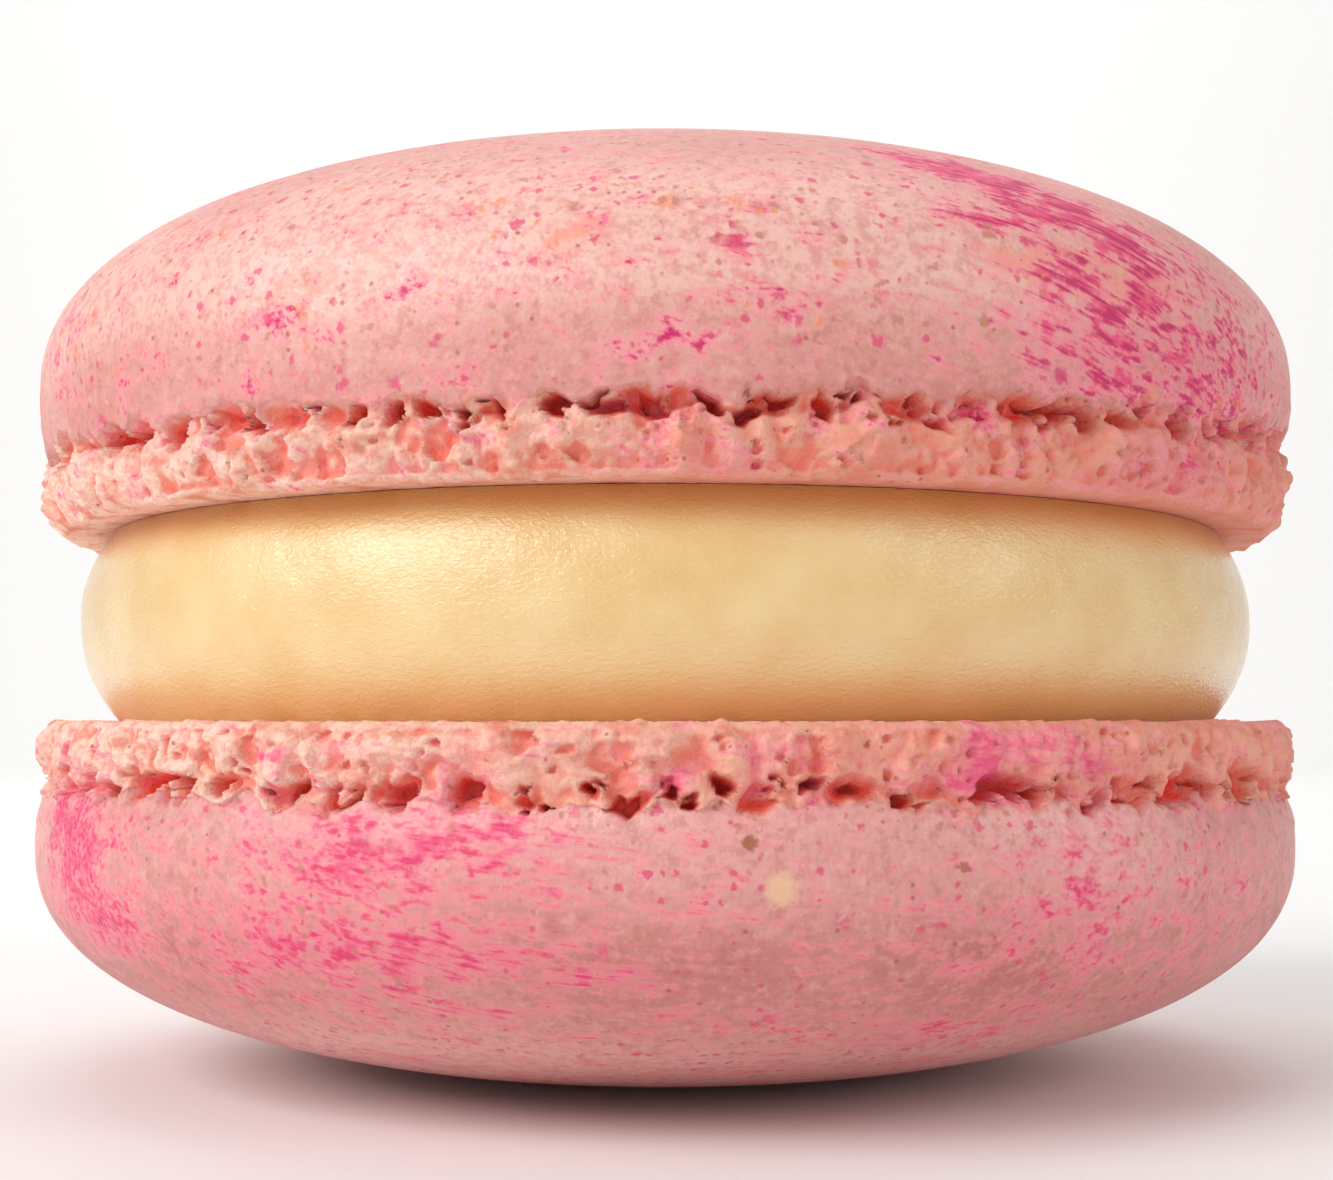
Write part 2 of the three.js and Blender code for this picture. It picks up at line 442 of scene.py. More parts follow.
@dataclass
class ShellForm:
    """One shell's sizes, in metres, measured up from the flat face that the cream sticks to."""

    half: Half
    dome_radius: float
    equator: float
    rise: float
    rise_exponent: float
    radius_exponent: float
    crown: float
    skin_edge_radius: float
    foot_radius: float
    foot_height: float
    swing: Triple
    edge_rounding: float
    edge_rounding_height: float
    cavities: int
    pores: int
    draw: int
    arc_steps: int = 2000
    foam: Foam = field(default_factory=Foam)

    def foot_at(self, azimuth: Array) -> Array:
        """Gives the foot's height at each angle, without the tear of the skin's edge."""
        cosine, double_cosine, sine = self.swing
        swing = cosine * np.cos(azimuth) + double_cosine * np.cos(2 * azimuth) + sine * np.sin(azimuth)
        return self.foot_height + swing

    def tear_at(self, azimuth: Array) -> Array:
        """Gives how far the skin's torn edge stands above or below the foot's height."""
        return self.foam.skin_tear * waves(azimuth, self.foam.tear_turns, self.draw)

    def skin_radius(self, azimuth: Array, height: Array) -> Array:
        """Gives the radius of the smooth skin.

        Args:
            azimuth: angles round the shell.
            height: heights above the flat face.

        Returns:
            The dome's radius above the widest line, and the tuck's below it.
        """
        above = height - self.equator
        share = np.clip(above / self.rise, 0, 1)
        dome = self.dome_radius * (1 - share**self.rise_exponent) ** (1 / self.radius_exponent)
        tuck = above / (self.equator - self.foot_at(azimuth))
        tucked = self.dome_radius - (self.dome_radius - self.skin_edge_radius) * tuck**2
        return np.where(above >= 0, dome, tucked)

    def wall_radius(self, azimuth: Array, height: Array, edge: Array) -> Array:
        """Gives the radius of the foot's wall, without its bubbles and fine crumb.

        Args:
            azimuth: angles round the shell.
            height: heights above the flat face.
            edge: height of the skin's edge at each angle.

        Returns:
            The wall's radius.
        """
        foam = self.foam
        share = height / edge
        short_of_round = np.maximum(0, 1 - height / self.edge_rounding_height)
        from_groove = (share - foam.groove_middle) / foam.groove_width
        groove = foam.groove_depth * np.exp(-(from_groove**2))
        in_wall = np.sqrt(np.sin(math.pi * np.clip(share, 0, 1)))
        frill = foam.frill_depth * waves(azimuth, foam.frill_turns, self.draw + 6)
        lump = foam.crumb_depth * foam.crumb(azimuth, height, self.draw + 7)
        wall = self.foot_radius - self.edge_rounding * short_of_round**2 - groove
        return wall + in_wall * (frill + lump)

    def dome_arcs(self) -> tuple[Array, Array]:
        """Gives ways along the dome from its widest line, and the height at the end of each."""
        heights = self.equator + self.rise * np.sin(np.linspace(0, math.pi / 2, self.arc_steps))
        radii = self.skin_radius(np.zeros(1), heights)
        return np.concatenate([[0], np.cumsum(np.hypot(np.diff(heights), np.diff(radii)))]), heights

    def bursts(self) -> list[Burst]:
        """Lists the burst bubbles of the foot.

        Returns:
            The bubbles, each with its place on the wall.
        """
        foam = self.foam
        rng = np.random.default_rng(self.draw)

        def between(ends: Span, shares: Array) -> Array:
            """Blends from the first end to the second."""
            return ends[0] + (ends[1] - ends[0]) * shares

        item = np.arange(self.cavities)
        azimuth = FULL_TURN * (item + foam.scatter * fraction(item, self.draw + 1)) / self.cavities
        size = fraction(item, self.draw + 2) ** foam.cavity_bias
        radius = between((foam.smallest_cavity, foam.largest_cavity), size)
        across = radius * between(foam.cavity_widths, rng.random(self.cavities))
        tall = radius * between(foam.cavity_talls, rng.random(self.cavities))
        depth = radius * between(foam.cavity_depths, rng.random(self.cavities) ** foam.cavity_depth_bias)
        height = self.foot_at(azimuth) + self.tear_at(azimuth) - foam.cavity_below_skin * radius
        cavities = zip(azimuth, height, across, tall, depth)
        found = [Burst(*v, undercut=foam.cavity_undercut) for v in cavities]
        item = np.arange(self.pores)
        azimuth = FULL_TURN * (item + foam.scatter * fraction(item, self.draw + 3)) / self.pores
        radius = between((foam.smallest_pore, foam.largest_pore), fraction(item, self.draw + 4))
        share = between(foam.pore_zone, fraction(item, self.draw + 5))
        height = share * (self.foot_at(azimuth) + self.tear_at(azimuth))
        depth = radius * between(foam.pore_depths, rng.random(self.pores) ** foam.pore_depth_bias)
        found += [Burst(*v, foam.pore_squareness) for v in zip(azimuth, height, radius, radius, depth)]
        for kind in foam.fine_kinds:
            azimuth = rng.uniform(0, FULL_TURN, kind.count)
            share = rng.uniform(kind.lowest, kind.highest, kind.count)
            radius = rng.uniform(kind.smallest, kind.largest, kind.count)
            across = radius * rng.uniform(*foam.fine_widths, kind.count)
            height = share * (self.foot_at(azimuth) + self.tear_at(azimuth))
            found += [Burst(*v) for v in zip(azimuth, height, across, radius, kind.depth * radius)]
        return found


@dataclass
class MeringueShell:
    """One shell as a fine mesh: flat face, foam foot, torn skin and dome."""

    form: ShellForm
    lift: float
    lean: float
    berry: tuple[Dab, ...]
    amber: tuple[Dab, ...]
    # Painted shade: how dark the skin is along the shell, darker where it turns away from the light.
    shade_tones: tuple[Span, ...]
    fine_columns: int = 1440
    foam_rows: int = 36
    lip_rows: int = 10
    lip_step: float = 0.1 * MM
    lip_start: float = 0.3
    lip_settle: float = 1.5
    lip_foam: float = 0.8
    hole_edges: Span = (0.05 * MM, 0.3 * MM)
    deep_hollow: float = 1.1 * MM
    crease_reach: int = 3
    crease_depth: float = 0.12 * MM
    crease_range: Span = (-0.5, 1.0)
    # Painted shade: how much the foam's creases add to the mark that darkens their colour.
    crease_shade: float = 0.22
    spots: tuple[Spot, ...] = ()
    # Dabs that make the skin paler; on the upper shell they are mostly painted light on its lit left side.
    pale: tuple[Dab, ...] = ()
    lit_pale_tone: float = 0.5
    tone_cell: float = 6.5 * MM
    tone_swing: float = 0.34
    blush_cell: float = 3.6 * MM
    blush_swing: float = 0.6
    dome_rows: int = 56
    dense_rows: int = 4
    dome_columns: int = 360
    crown_thinning: tuple[tuple[int, int], ...] = ((4, 2), (2, 4), (1, 8))
    crown_calm: Span = (0.75, 1.0)
    flat_steps: tuple[tuple[int, float], ...] = ((90, 0.5), (180, 0.8), (360, 0.88), (720, 0.94))
    flat_dimple: float = 0.03 * MM
    flat_dimple_cell: float = 0.7 * MM
    skin_wave: float = 0.03 * MM
    skin_wave_cell: float = 3.2 * MM
    skin_dimple: float = 0.012 * MM
    skin_dimple_cell: float = 0.9 * MM

    def place(self, azimuth: Array, radius: Array, height: Array) -> Array:
        """Turns a place on the shell into a point of the whole macaron.

        Args:
            azimuth: angles round the shell.
            radius: distances from its axis.
            height: heights above its flat face.

        Returns:
            Points with x, y and z along the last axis.
        """
        x, y, z = np.broadcast_arrays(radius * np.cos(azimuth), radius * np.sin(azimuth), height)
        if self.form.half is Half.LOWER:
            return np.stack([x, -y, self.lift - z], -1)
        cosine, sine = math.cos(self.lean), math.sin(self.lean)
        shift = self.form.equator * sine
        return np.stack([x, y * cosine - z * sine + shift, y * sine + z * cosine + self.lift], -1)

    def world_turn(self, azimuth: Array) -> Array:
        """Gives the angle round the whole macaron for an angle round this shell."""
        return -azimuth if self.form.half is Half.LOWER else azimuth

    def dabs_at(self, dabs: tuple[Dab, ...], azimuth: Array, along: Array, radius: Array) -> Array:
        """Adds up dabs of colour at places given round this shell."""
        return dab_cover(dabs, self.world_turn(azimuth), along, radius)

    def blot_at(self, spot: Spot) -> "Blot":
        """Finds the place of a single mark.

        Args:
            spot: the mark, with its place given on the shell.

        Returns:
            The mark, with its place as a point of the whole macaron.
        """
        azimuth = self.world_turn(math.radians(spot.turn))
        along = spot.along * MM
        arcs, heights = self.form.dome_arcs()
        height = float(np.interp(along, arcs, heights)) if along > 0 else self.form.equator + along
        radius = self.form.skin_radius(np.array(azimuth), np.array(height))
        centre = tuple(float(v) / MM for v in self.place(azimuth, radius, height))
        return Blot(centre, spot.radius, spot.colour, spot.strength)

    def carve(self, azimuth: Array, height: Array) -> Array:
        """Works out how far the burst bubbles open into the wall.

        Args:
            azimuth: one angle for each column.
            height: heights above the flat face, one row for each row of the grid.

        Returns:
            Depths, in the grid's shape.
        """
        form, foam = self.form, self.form.foam
        radius = form.foot_radius
        column_angles = np.broadcast_to(azimuth, height.shape)
        points = self.place(column_angles, radius, height)
        aside = foam.warp_reach * Grain(form.draw + 11).at(points, foam.warp_cell)
        upward = foam.warp_reach * Grain(form.draw + 12).at(points, foam.warp_cell)
        depth = np.zeros(height.shape)
        step = FULL_TURN / len(azimuth)
        for burst in form.bursts():
            reach = int((burst.across + 2 * foam.warp_reach) / radius / step) + 1
            columns = (int(burst.azimuth / step) + np.arange(-reach, reach + 1)) % len(azimuth)
            turn = (azimuth[columns] - burst.azimuth + math.pi) % FULL_TURN - math.pi
            bend = min(1.0, burst.tall / foam.smallest_pore)
            across = (turn * radius + bend * aside[:, columns]) / burst.across
            up = (height[:, columns] - burst.height + bend * upward[:, columns]) / burst.tall
            away = np.hypot(across, up)
            cup = burst.depth * np.sqrt(np.clip(1 - away**burst.squareness, 0, 1))
            cup *= 1 - burst.undercut * smooth_step(-up, *foam.undercut_zone)
            depth[:, columns] = np.maximum(depth[:, columns], cup)
        return depth

    def tint(self, points: Array, azimuth: Array, along: Array, radius: Array) -> dict[str, Array]:
        """Gives the slow changes of colour at places on the shell, with painted shade and painted light.

        Args:
            points: the places.
            azimuth: angles round the shell.
            along: way from the widest line towards the crown.
            radius: distances from the axis.

        Returns:
            The marks of the shell's colours, from 0 to 1; tone holds painted shade and painted light
            besides the skin's random tone.
        """
        tone = Grain(self.form.draw + 31).at(points, self.tone_cell)
        # Painted shade by the way along the shell, then painted light where the pale dabs lie.
        middle = np.interp(along, *zip(*self.shade_tones))
        middle = middle - self.lit_pale_tone * self.dabs_at(self.pale, azimuth, along, radius)
        blush = Grain(self.form.draw + 32).at(points, self.blush_cell)
        return {
            "tone": np.clip(middle + self.tone_swing * tone, 0, 1),
            "blush": np.clip(0.5 + self.blush_swing * blush, 0, 1),
            "berry": self.dabs_at(self.berry, azimuth, along, radius),
            "amber": self.dabs_at(self.amber, azimuth, along, radius),
        }

    def wall(self, skin: RingSkin) -> None:
        """Adds the finely divided rings of the foam and of the skin's torn lip.

        Args:
            skin: the rings so far, ending with the flat face.
        """
        form, foam = self.form, self.form.foam
        azimuth = FULL_TURN * np.arange(self.fine_columns) / self.fine_columns
        rim = self.place(azimuth, form.foot_radius, form.foot_at(azimuth))
        lobes = foam.lobe_reach * Grain(form.draw + 13).at(rim, foam.lobe_cell)
        ragged = foam.ragged_reach * Grain(form.draw + 20).at(rim, foam.ragged_cell)
        tear = form.tear_at(azimuth) + lobes + ragged
        edge = form.foot_at(azimuth) + tear
        foam_shares = np.arange(1, self.foam_rows + 1) / self.foam_rows
        foam_heights = foam_shares[:, None] * edge
        lip_share = (np.arange(self.lip_rows + 1) / self.lip_rows)[:, None]
        lip_rise = foam.skin_thickness * self.lip_start + lip_share * self.lip_rows * self.lip_step
        lip_heights = form.foot_at(azimuth) + tear * (1 - lip_share) ** self.lip_settle + lip_rise
        heights = np.concatenate([foam_heights, lip_heights])
        is_skin = np.concatenate([np.zeros_like(foam_heights), np.ones_like(lip_heights)])
        up_lip = np.concatenate([np.zeros((self.foam_rows, 1)), lip_share])

        base = np.where(
            is_skin > 0,
            form.skin_radius(azimuth, heights),
            form.wall_radius(azimuth, heights, edge),
        )
        overhang = Grain(form.draw + 22).at(rim, foam.lobe_cell)
        hidden = foam.skin_overhang * smooth_step(overhang, *foam.overhang_level)
        under_lip = np.array(foam.overhang_rows)[:, None]
        base[self.foam_rows - len(under_lip) : self.foam_rows] -= under_lip * hidden
        share = np.clip(heights / edge, 0, 1)
        in_foam = smooth_step(share, *foam.band) * (1 - is_skin)
        in_lip = is_skin * (1 - smooth_step(up_lip, 0.0, self.lip_foam))
        base += foam.band_proud * smooth_step(share, 0.0, foam.band[0]) * (1 - is_skin - in_foam)
        points = self.place(azimuth, form.foot_radius, heights)
        band_wave = foam.band_wave * Grain(form.draw + 23).at(points, foam.band_cell)
        base += band_wave * (1 - is_skin) * (1 - in_foam)
        tall_points = points * (1, 1, foam.lump_stretch)
        lumps = np.abs(Grain(form.draw + 14).at(tall_points, foam.lump_cell)) - foam.ridge_level
        nubs = np.abs(Grain(form.draw + 15).at(points, foam.nub_cell)) - foam.ridge_level
        grit = Grain(form.draw + 16).at(points, foam.grit_cell)
        frothy = smooth_step(Grain(form.draw + 21).at(points, foam.froth_cell), *foam.froth_level)
        fine = foam.nub_depth * nubs + foam.grit_depth * grit
        crumbly = foam.lump_depth * lumps + (foam.froth_floor + frothy) * fine
        split = Grain(form.draw + 25).at(points * (1, 1, foam.crevice_stretch), foam.crevice_cell)
        fray = Grain(form.draw + 26).at(points, foam.ragged_cell)
        split += foam.crevice_nubs * nubs + foam.crevice_fray * fray
        crevice = smooth_step(split, *foam.crevice_level)
        crevice = crevice * smooth_step(share, *foam.crevice_zone) * in_foam
        depth = self.carve(azimuth, heights) * np.maximum(in_foam, in_lip)
        depth = np.maximum(depth, foam.crevice_depth * crevice)
        radius = base + (in_foam + foam.lip_crumb * in_lip) * crumbly - depth
        radius = np.minimum(radius, form.dome_radius)
        envelope = np.minimum(form.dome_radius, np.maximum(form.foot_radius, base))
        # Painted shade and glow: this mark darkens and reddens the colour in the foam's creases and burst
        # bubbles, in place of shade there and of light glowing through the meringue.
        crease = (soften(radius, self.crease_reach) - radius) / self.crease_depth
        crease = np.clip(crease, *self.crease_range)
        hollow = (envelope - radius) / self.deep_hollow + self.crease_shade * crease
        hollow = np.clip(hollow, 0, 1) * np.maximum(in_foam, is_skin)
        shown_skin = is_skin * (1 - smooth_step(depth, *self.hole_edges))
        heights -= self.rim_bumps(azimuth) * (1 - smooth_step(share, 0.0, foam.rim_reach))
        along = heights - form.equator
        for row in range(len(heights)):
            ring = self.place(azimuth, radius[row], heights[row])
            tint = self.tint(ring, azimuth, along[row], radius[row])
            skin.add(ring, hollow=hollow[row], skin=shown_skin[row], **tint)

    def rim_bumps(self, azimuth: Array) -> Array:
        """Gives how far crumbs stand out of the flat face along its edge."""
        foam = self.form.foam
        rim = self.place(azimuth, self.form.foot_radius, 0.0)
        grain = Grain(self.form.draw + 24).at(rim, foam.rim_cell)
        return foam.rim_crumb * np.clip(grain - foam.rim_level, 0, None)

    def flat_face(self, skin: RingSkin) -> None:
        """Adds the rings of the flat face, from its middle to the foot's bottom edge.

        Args:
            skin: the rings so far, which is none.
        """
        form = self.form
        edge = form.foot_radius - form.edge_rounding
        plain = {"hollow": 0, "skin": 0, "berry": 0, "amber": 0, "tone": 0.5, "blush": 0.3}
        skin.add(self.place(0.0, 0.0, 0.0)[None], **plain)
        grain = Grain(form.draw + 17)
        for columns, share in (*self.flat_steps, (self.fine_columns, 1.0)):
            azimuth = FULL_TURN * np.arange(columns) / columns
            points = self.place(azimuth, edge * share, 0.0)
            sunk = self.flat_dimple * (share > self.flat_steps[0][1])
            sunk = sunk * np.abs(grain.at(points, self.flat_dimple_cell))
            sunk = sunk if share < 1 else -self.rim_bumps(azimuth)
            skin.add(self.place(azimuth, edge * share, sunk), **plain)

    def dome(self, skin: RingSkin) -> None:
        """Adds the rings of the dome, from the top of the lip to the crown.

        Args:
            skin: the rings so far, ending with the lip.
        """
        form, foam = self.form, self.form.foam
        grains = Grain(form.draw + 18), Grain(form.draw + 19)
        arcs, arc_heights = form.dome_arcs()
        for row in range(1, self.dome_rows + 1):
            columns = self.fine_columns // 2 if row < self.dense_rows else self.dome_columns
            left = self.dome_rows - row
            columns //= max([1] + [by for rows, by in self.crown_thinning if left <= rows])
            azimuth = FULL_TURN * np.arange(columns) / columns
            lowest = form.foot_at(azimuth) + foam.skin_thickness * self.lip_start
            lowest += self.lip_rows * self.lip_step
            share = row / self.dome_rows
            height = lowest + (form.crown - lowest) * math.sin(math.pi / 2 * share)
            smooth = form.skin_radius(azimuth, height)
            points = self.place(azimuth, smooth, height)
            away = 1 - smooth_step(share, *self.crown_calm)
            sunk = self.skin_wave * (1 + grains[0].at(points, self.skin_wave_cell))
            sunk += self.skin_dimple * (1 + grains[1].at(points, self.skin_dimple_cell))
            radius = smooth - away * np.clip(sunk, 0, None)
            up_dome = np.interp(height, arc_heights, arcs)
            along = np.where(height > form.equator, up_dome, height - form.equator)
            ring = self.place(azimuth, radius, height)
            skin.add(ring, hollow=0, skin=1, **self.tint(ring, azimuth, along, radius))
        crown = self.place(0.0, 0.0, form.crown)[None]
        skin.add(crown, hollow=0, skin=1, berry=0, amber=0, tone=0.5, blush=0.5)

    def build(self, finish: "MeringueFinish") -> bpy.types.Object:
        """Builds and dresses the shell, in place of its plain solid.

        Args:
            finish: the colours and grain of the meringue.

        Returns:
            The finished piece.
        """
        skin = RingSkin()
        self.flat_face(skin)
        self.wall(skin)
        self.dome(skin)
        piece = skin.build(f"meringue_{self.form.half.name.lower()}")
        piece.data.materials.append(finish.material([self.blot_at(spot) for spot in self.spots]))
        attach(piece, BODY)
        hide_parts(self.form.half.value)
        return piece


@dataclass
class VanillaCream:
    """The cream as a fine mesh: flat where it sticks, and bulging between the shells."""

    floor: float
    thickness: float
    lean: float
    lower_seam: float = 19.6 * MM
    upper_seam: float = 19.9 * MM
    bulge: float = 20.98 * MM
    bulge_height: float = 3.4 * MM
    bulge_exponent: float = 2.2
    unevenness: float = 0.07 * MM
    uneven_turns: tuple[int, ...] = (3, 7, 11)
    draw: int = 41
    columns: int = 960
    rows: int = 76
    core_columns: tuple[int, ...] = (120, 240, 480)
    sag_cell: float = 2.6 * MM
    sag: float = 0.045 * MM
    crease_cell: float = 0.5 * MM
    crease: float = 0.022 * MM
    dry_crease: float = 0.15
    wet_patches: tuple[Dab, ...] = (
        Dab(-112.0, 1.3, 4.6, 0.9, 1.0),
        Dab(-128.0, 0.8, 3.0, 0.9, 0.7),
        Dab(-88.0, 1.4, 4.0, 0.5, 0.5),
        Dab(-62.0, 1.2, 3.6, 1.0, 0.8),
        Dab(-48.0, 0.8, 3.0, 1.2, 1.0),
        Dab(-30.0, 0.5, 3.0, 1.3, 0.7),
        Dab(20.0, 1.0, 5.0, 1.0, 0.8),
        Dab(95.0, 1.0, 6.0, 0.9, 0.8),
        Dab(160.0, 0.9, 5.0, 1.0, 0.8),
    )

    def radius_at(self, share: float, azimuth: Array) -> Array:
        """Gives the bulge's radius.

        Args:
            share: how far up the cream, from 0 to 1.
            azimuth: angles round the cream.

        Returns:
            The radius at each angle.
        """
        middle = self.bulge_height / self.thickness
        seam = self.lower_seam if share < middle else self.upper_seam
        away = 1 - share / middle if share < middle else (share - middle) / (1 - middle)
        uneven = self.unevenness * waves(azimuth, self.uneven_turns, self.draw)
        return self.bulge - (self.bulge - seam) * away**self.bulge_exponent + uneven

    def top_at(self, azimuth: Array, radius: Array) -> Array:
        """Gives the thickness of the cream under the leaning upper shell."""
        return self.thickness + math.tan(self.lean) * radius * np.sin(azimuth)

    def ring(self, azimuth: Array, radius: Array, height: Array) -> Array:
        """Gives the points of one ring, with height above the cream's floor."""
        x, y, z = np.broadcast_arrays(radius * np.cos(azimuth), radius * np.sin(azimuth), height)
        return np.stack([x, y, self.floor + z], -1)

    def build(self, finish: "CreamFinish") -> bpy.types.Object:
        """Builds and dresses the cream, in place of its plain solid.

        Args:
            finish: the colours and gloss of the cream.

        Returns:
            The finished piece.
        """
        skin = RingSkin()
        skin.add(self.ring(0.0, 0.0, 0.0)[None], seam=-1)
        for number, columns in enumerate(self.core_columns):
            azimuth = FULL_TURN * np.arange(columns) / columns
            share = (number + 1) / (len(self.core_columns) + 1)
            skin.add(self.ring(azimuth, self.lower_seam * share, 0.0), seam=-1)
        azimuth = FULL_TURN * np.arange(self.columns) / self.columns
        sags, creases = Grain(self.draw + 1), Grain(self.draw + 2)
        for row in range(self.rows + 1):
            share = (1 - math.cos(math.pi * row / self.rows)) / 2
            smooth = self.radius_at(share, azimuth)
            height = share * self.top_at(azimuth, smooth)
            points = self.ring(azimuth, smooth, height)
            open_side = math.sin(math.pi * share) ** 0.5
            wrinkled = dab_cover(self.wet_patches, azimuth, height - self.bulge_height, smooth)
            sunk = self.sag * (1 + sags.at(points, self.sag_cell))
            sunk += (self.dry_crease + wrinkled) * self.crease * (1 + creases.at(points, self.crease_cell))
            ring = self.ring(azimuth, smooth - open_side * sunk, height)
            skin.add(ring, seam=2 * share - 1)
        rings = len(self.core_columns)
        for number, columns in enumerate(reversed(self.core_columns)):
            azimuth = FULL_TURN * np.arange(columns) / columns
            radius = self.upper_seam * (rings - number) / (rings + 1)
            skin.add(self.ring(azimuth, radius, self.top_at(azimuth, radius)), seam=1)
        skin.add(self.ring(0.0, 0.0, self.thickness)[None], seam=1)
        piece = skin.build("vanilla_cream")
        piece.data.materials.append(finish.material())
        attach(piece, BODY)
        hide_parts("cream_filling")
        return piece


Socket = bpy.types.NodeSocket
Input = float | tuple | bpy.types.NodeSocket
MIX_FIRST, MIX_SECOND, MIX_RESULT = 6, 7, 2  # the mix node's sockets for colours


class Bench:
    """Lays out one node material, with short ways to add and join its nodes."""

    def __init__(self, name: str) -> None:
        """Starts an empty material whose measures are millimetres of the object.

        Args:
            name: the material's name.
        """
        self.result = bpy.data.materials.new(name)
        self.result.use_nodes = True
        self.tree = self.result.node_tree
        self.tree.nodes.clear()
        place = self.node("ShaderNodeTexCoord").outputs["Object"]
        self.place = self.vector("SCALE", place, Scale=1 / MM)

    def node(
        self, kind: str, inputs: dict[str | int, Input] | None = None, **settings: object
    ) -> bpy.types.Node:
        """Adds a node.

        Args:
            kind: Blender's name for the node.
            inputs: for each input, a value or a socket to join to it.
            settings: the node's own settings.

        Returns:
            The node.
        """
        made = self.tree.nodes.new(kind)
        for name, value in settings.items():
            setattr(made, name, value)
        for name, value in (inputs or {}).items():
            if isinstance(value, bpy.types.NodeSocket):
                self.tree.links.new(value, made.inputs[name])
            else:
                made.inputs[name].default_value = value
        return made

    def vector(self, operation: str, *values: Input, **named: float) -> Socket:
        """Does sums on vectors."""
        inputs: dict[str | int, Input] = {**dict(enumerate(values)), **named}
        made = self.node("ShaderNodeVectorMath", inputs, operation=operation)
        return made.outputs["Value" if operation == "DISTANCE" else "Vector"]

    def sum(self, operation: str, first: Input, second: Input = 0.0, third: Input = 0.0) -> Socket:
        """Does sums on numbers."""
        inputs = {0: first, 1: second, 2: third}
        return self.node("ShaderNodeMath", inputs, operation=operation).outputs[0]

    def ease(self, value: Input, low: float, high: float, floor: Input = 0.0, top: Input = 1.0) -> Socket:
        """Eases from floor where value is low to top where it is high."""
        inputs = {"Value": value, "From Min": low, "From Max": high, "To Min": floor, "To Max": top}
        return self.node("ShaderNodeMapRange", inputs, interpolation_type="SMOOTHSTEP").outputs["Result"]

    def mix(self, share: Input, first: Input, second: Input) -> Socket:
        """Mixes two colours."""
        first, second = (
            colour if isinstance(colour, bpy.types.NodeSocket) else (*colour, 1.0)
            for colour in (first, second)
        )
        inputs = {0: share, MIX_FIRST: first, MIX_SECOND: second}
        return self.node("ShaderNodeMix", inputs, data_type="RGBA").outputs[MIX_RESULT]

    def wash(self, under: Input, over: Input, value: Input, wash: "Wash") -> Socket:
        """Lays one colour over another where a number is high."""
        return self.mix(self.ease(value, wash.low, wash.high, 0.0, wash.cover), under, over)

    def mark(self, name: str) -> Socket:
        """Reads a mark that the mesh carries."""
        return self.node("ShaderNodeAttribute", attribute_name=name).outputs["Fac"]

    def noise(
        self, cell: float, detail: float, offset: float, stretch: Triple = (1, 1, 1)
    ) -> Socket:
        """Adds noise.

        Args:
            cell: size of its lumps in millimetres.
            detail: how many finer layers it has.
            offset: moves the pattern, to tell layers apart.
            stretch: how much finer it is along x, y and z.

        Returns:
            Numbers round one half.
        """
        place = self.vector("MULTIPLY", self.place, stretch)
        place = self.vector("ADD", place, (offset, offset, offset))
        inputs = {"Vector": place, "Scale": 1 / cell, "Detail": detail}
        return self.node("ShaderNodeTexNoise", inputs).outputs["Fac"]

    def palette(self, pick: Input, colours: tuple[Colour, ...]) -> Socket:
        """Picks one of some colours by a number from 0 to 1."""
        ramp = self.node("ShaderNodeValToRGB", {"Fac": pick})
        ramp.color_ramp.interpolation = "CONSTANT"
        steps = ramp.color_ramp.elements
        while len(steps) < len(colours):
            steps.new(len(steps) / len(colours))
        for number, colour in enumerate(colours):
            steps[number].position = number / len(colours)
            steps[number].color = (*colour, 1.0)
        return ramp.outputs["Color"]

    def flecks(self, under: Input, kind: "Flecks", drift: Input, crowd: Input) -> Socket:
        """Scatters ragged flecks over a colour, at most one to each cell of a lattice.

        Args:
            under: the colour under them.
            kind: their size, colours and number.
            drift: noise vector that frays them.
            crowd: share of the cells that hold one, from 0 to 1, which also makes them larger.

        Returns:
            The colour with the flecks on it.
        """
        shift = self.vector("MULTIPLY_ADD", drift, (kind.fray / kind.cell,) * 3, (kind.offset,) * 3)
        place = self.vector("MULTIPLY_ADD", self.place, (1 / kind.cell,) * 3, shift)
        cell, part = self.vector("FLOOR", place), self.vector("FRACTION", place)
        draw = self.node("ShaderNodeTexWhiteNoise", {"Vector": cell}, noise_dimensions="3D").outputs
        room = kind.largest / kind.cell
        centre = self.vector("MULTIPLY_ADD", draw["Color"], (1 - 2 * room,) * 3, (room,) * 3)
        away = self.vector("DISTANCE", part, centre)
        outside = self.sum("MULTIPLY_ADD", self.sum("SUBTRACT", draw["Value"], crowd), room, away)
        near = self.ease(outside, -kind.soft * room, 0.0, kind.strength, 0.0)
        return self.mix(near, under, self.palette(draw["Value"], kind.colours * 3))

    def blots(self, under: Input, blots: list["Blot"], place: Input) -> Socket:
        """Puts single marks over a colour.

        Args:
            under: the colour under them.
            blots: their places, sizes and colours.
            place: the point of the surface, shifted so that the marks look ragged.

        Returns:
            The colour with the marks on it.
        """
        for blot in blots:
            away = self.vector("DISTANCE", place, blot.centre)
            near = self.ease(away, blot.core * blot.radius, blot.radius, blot.strength, 0.0)
            under = self.mix(near, under, blot.colour)
        return under

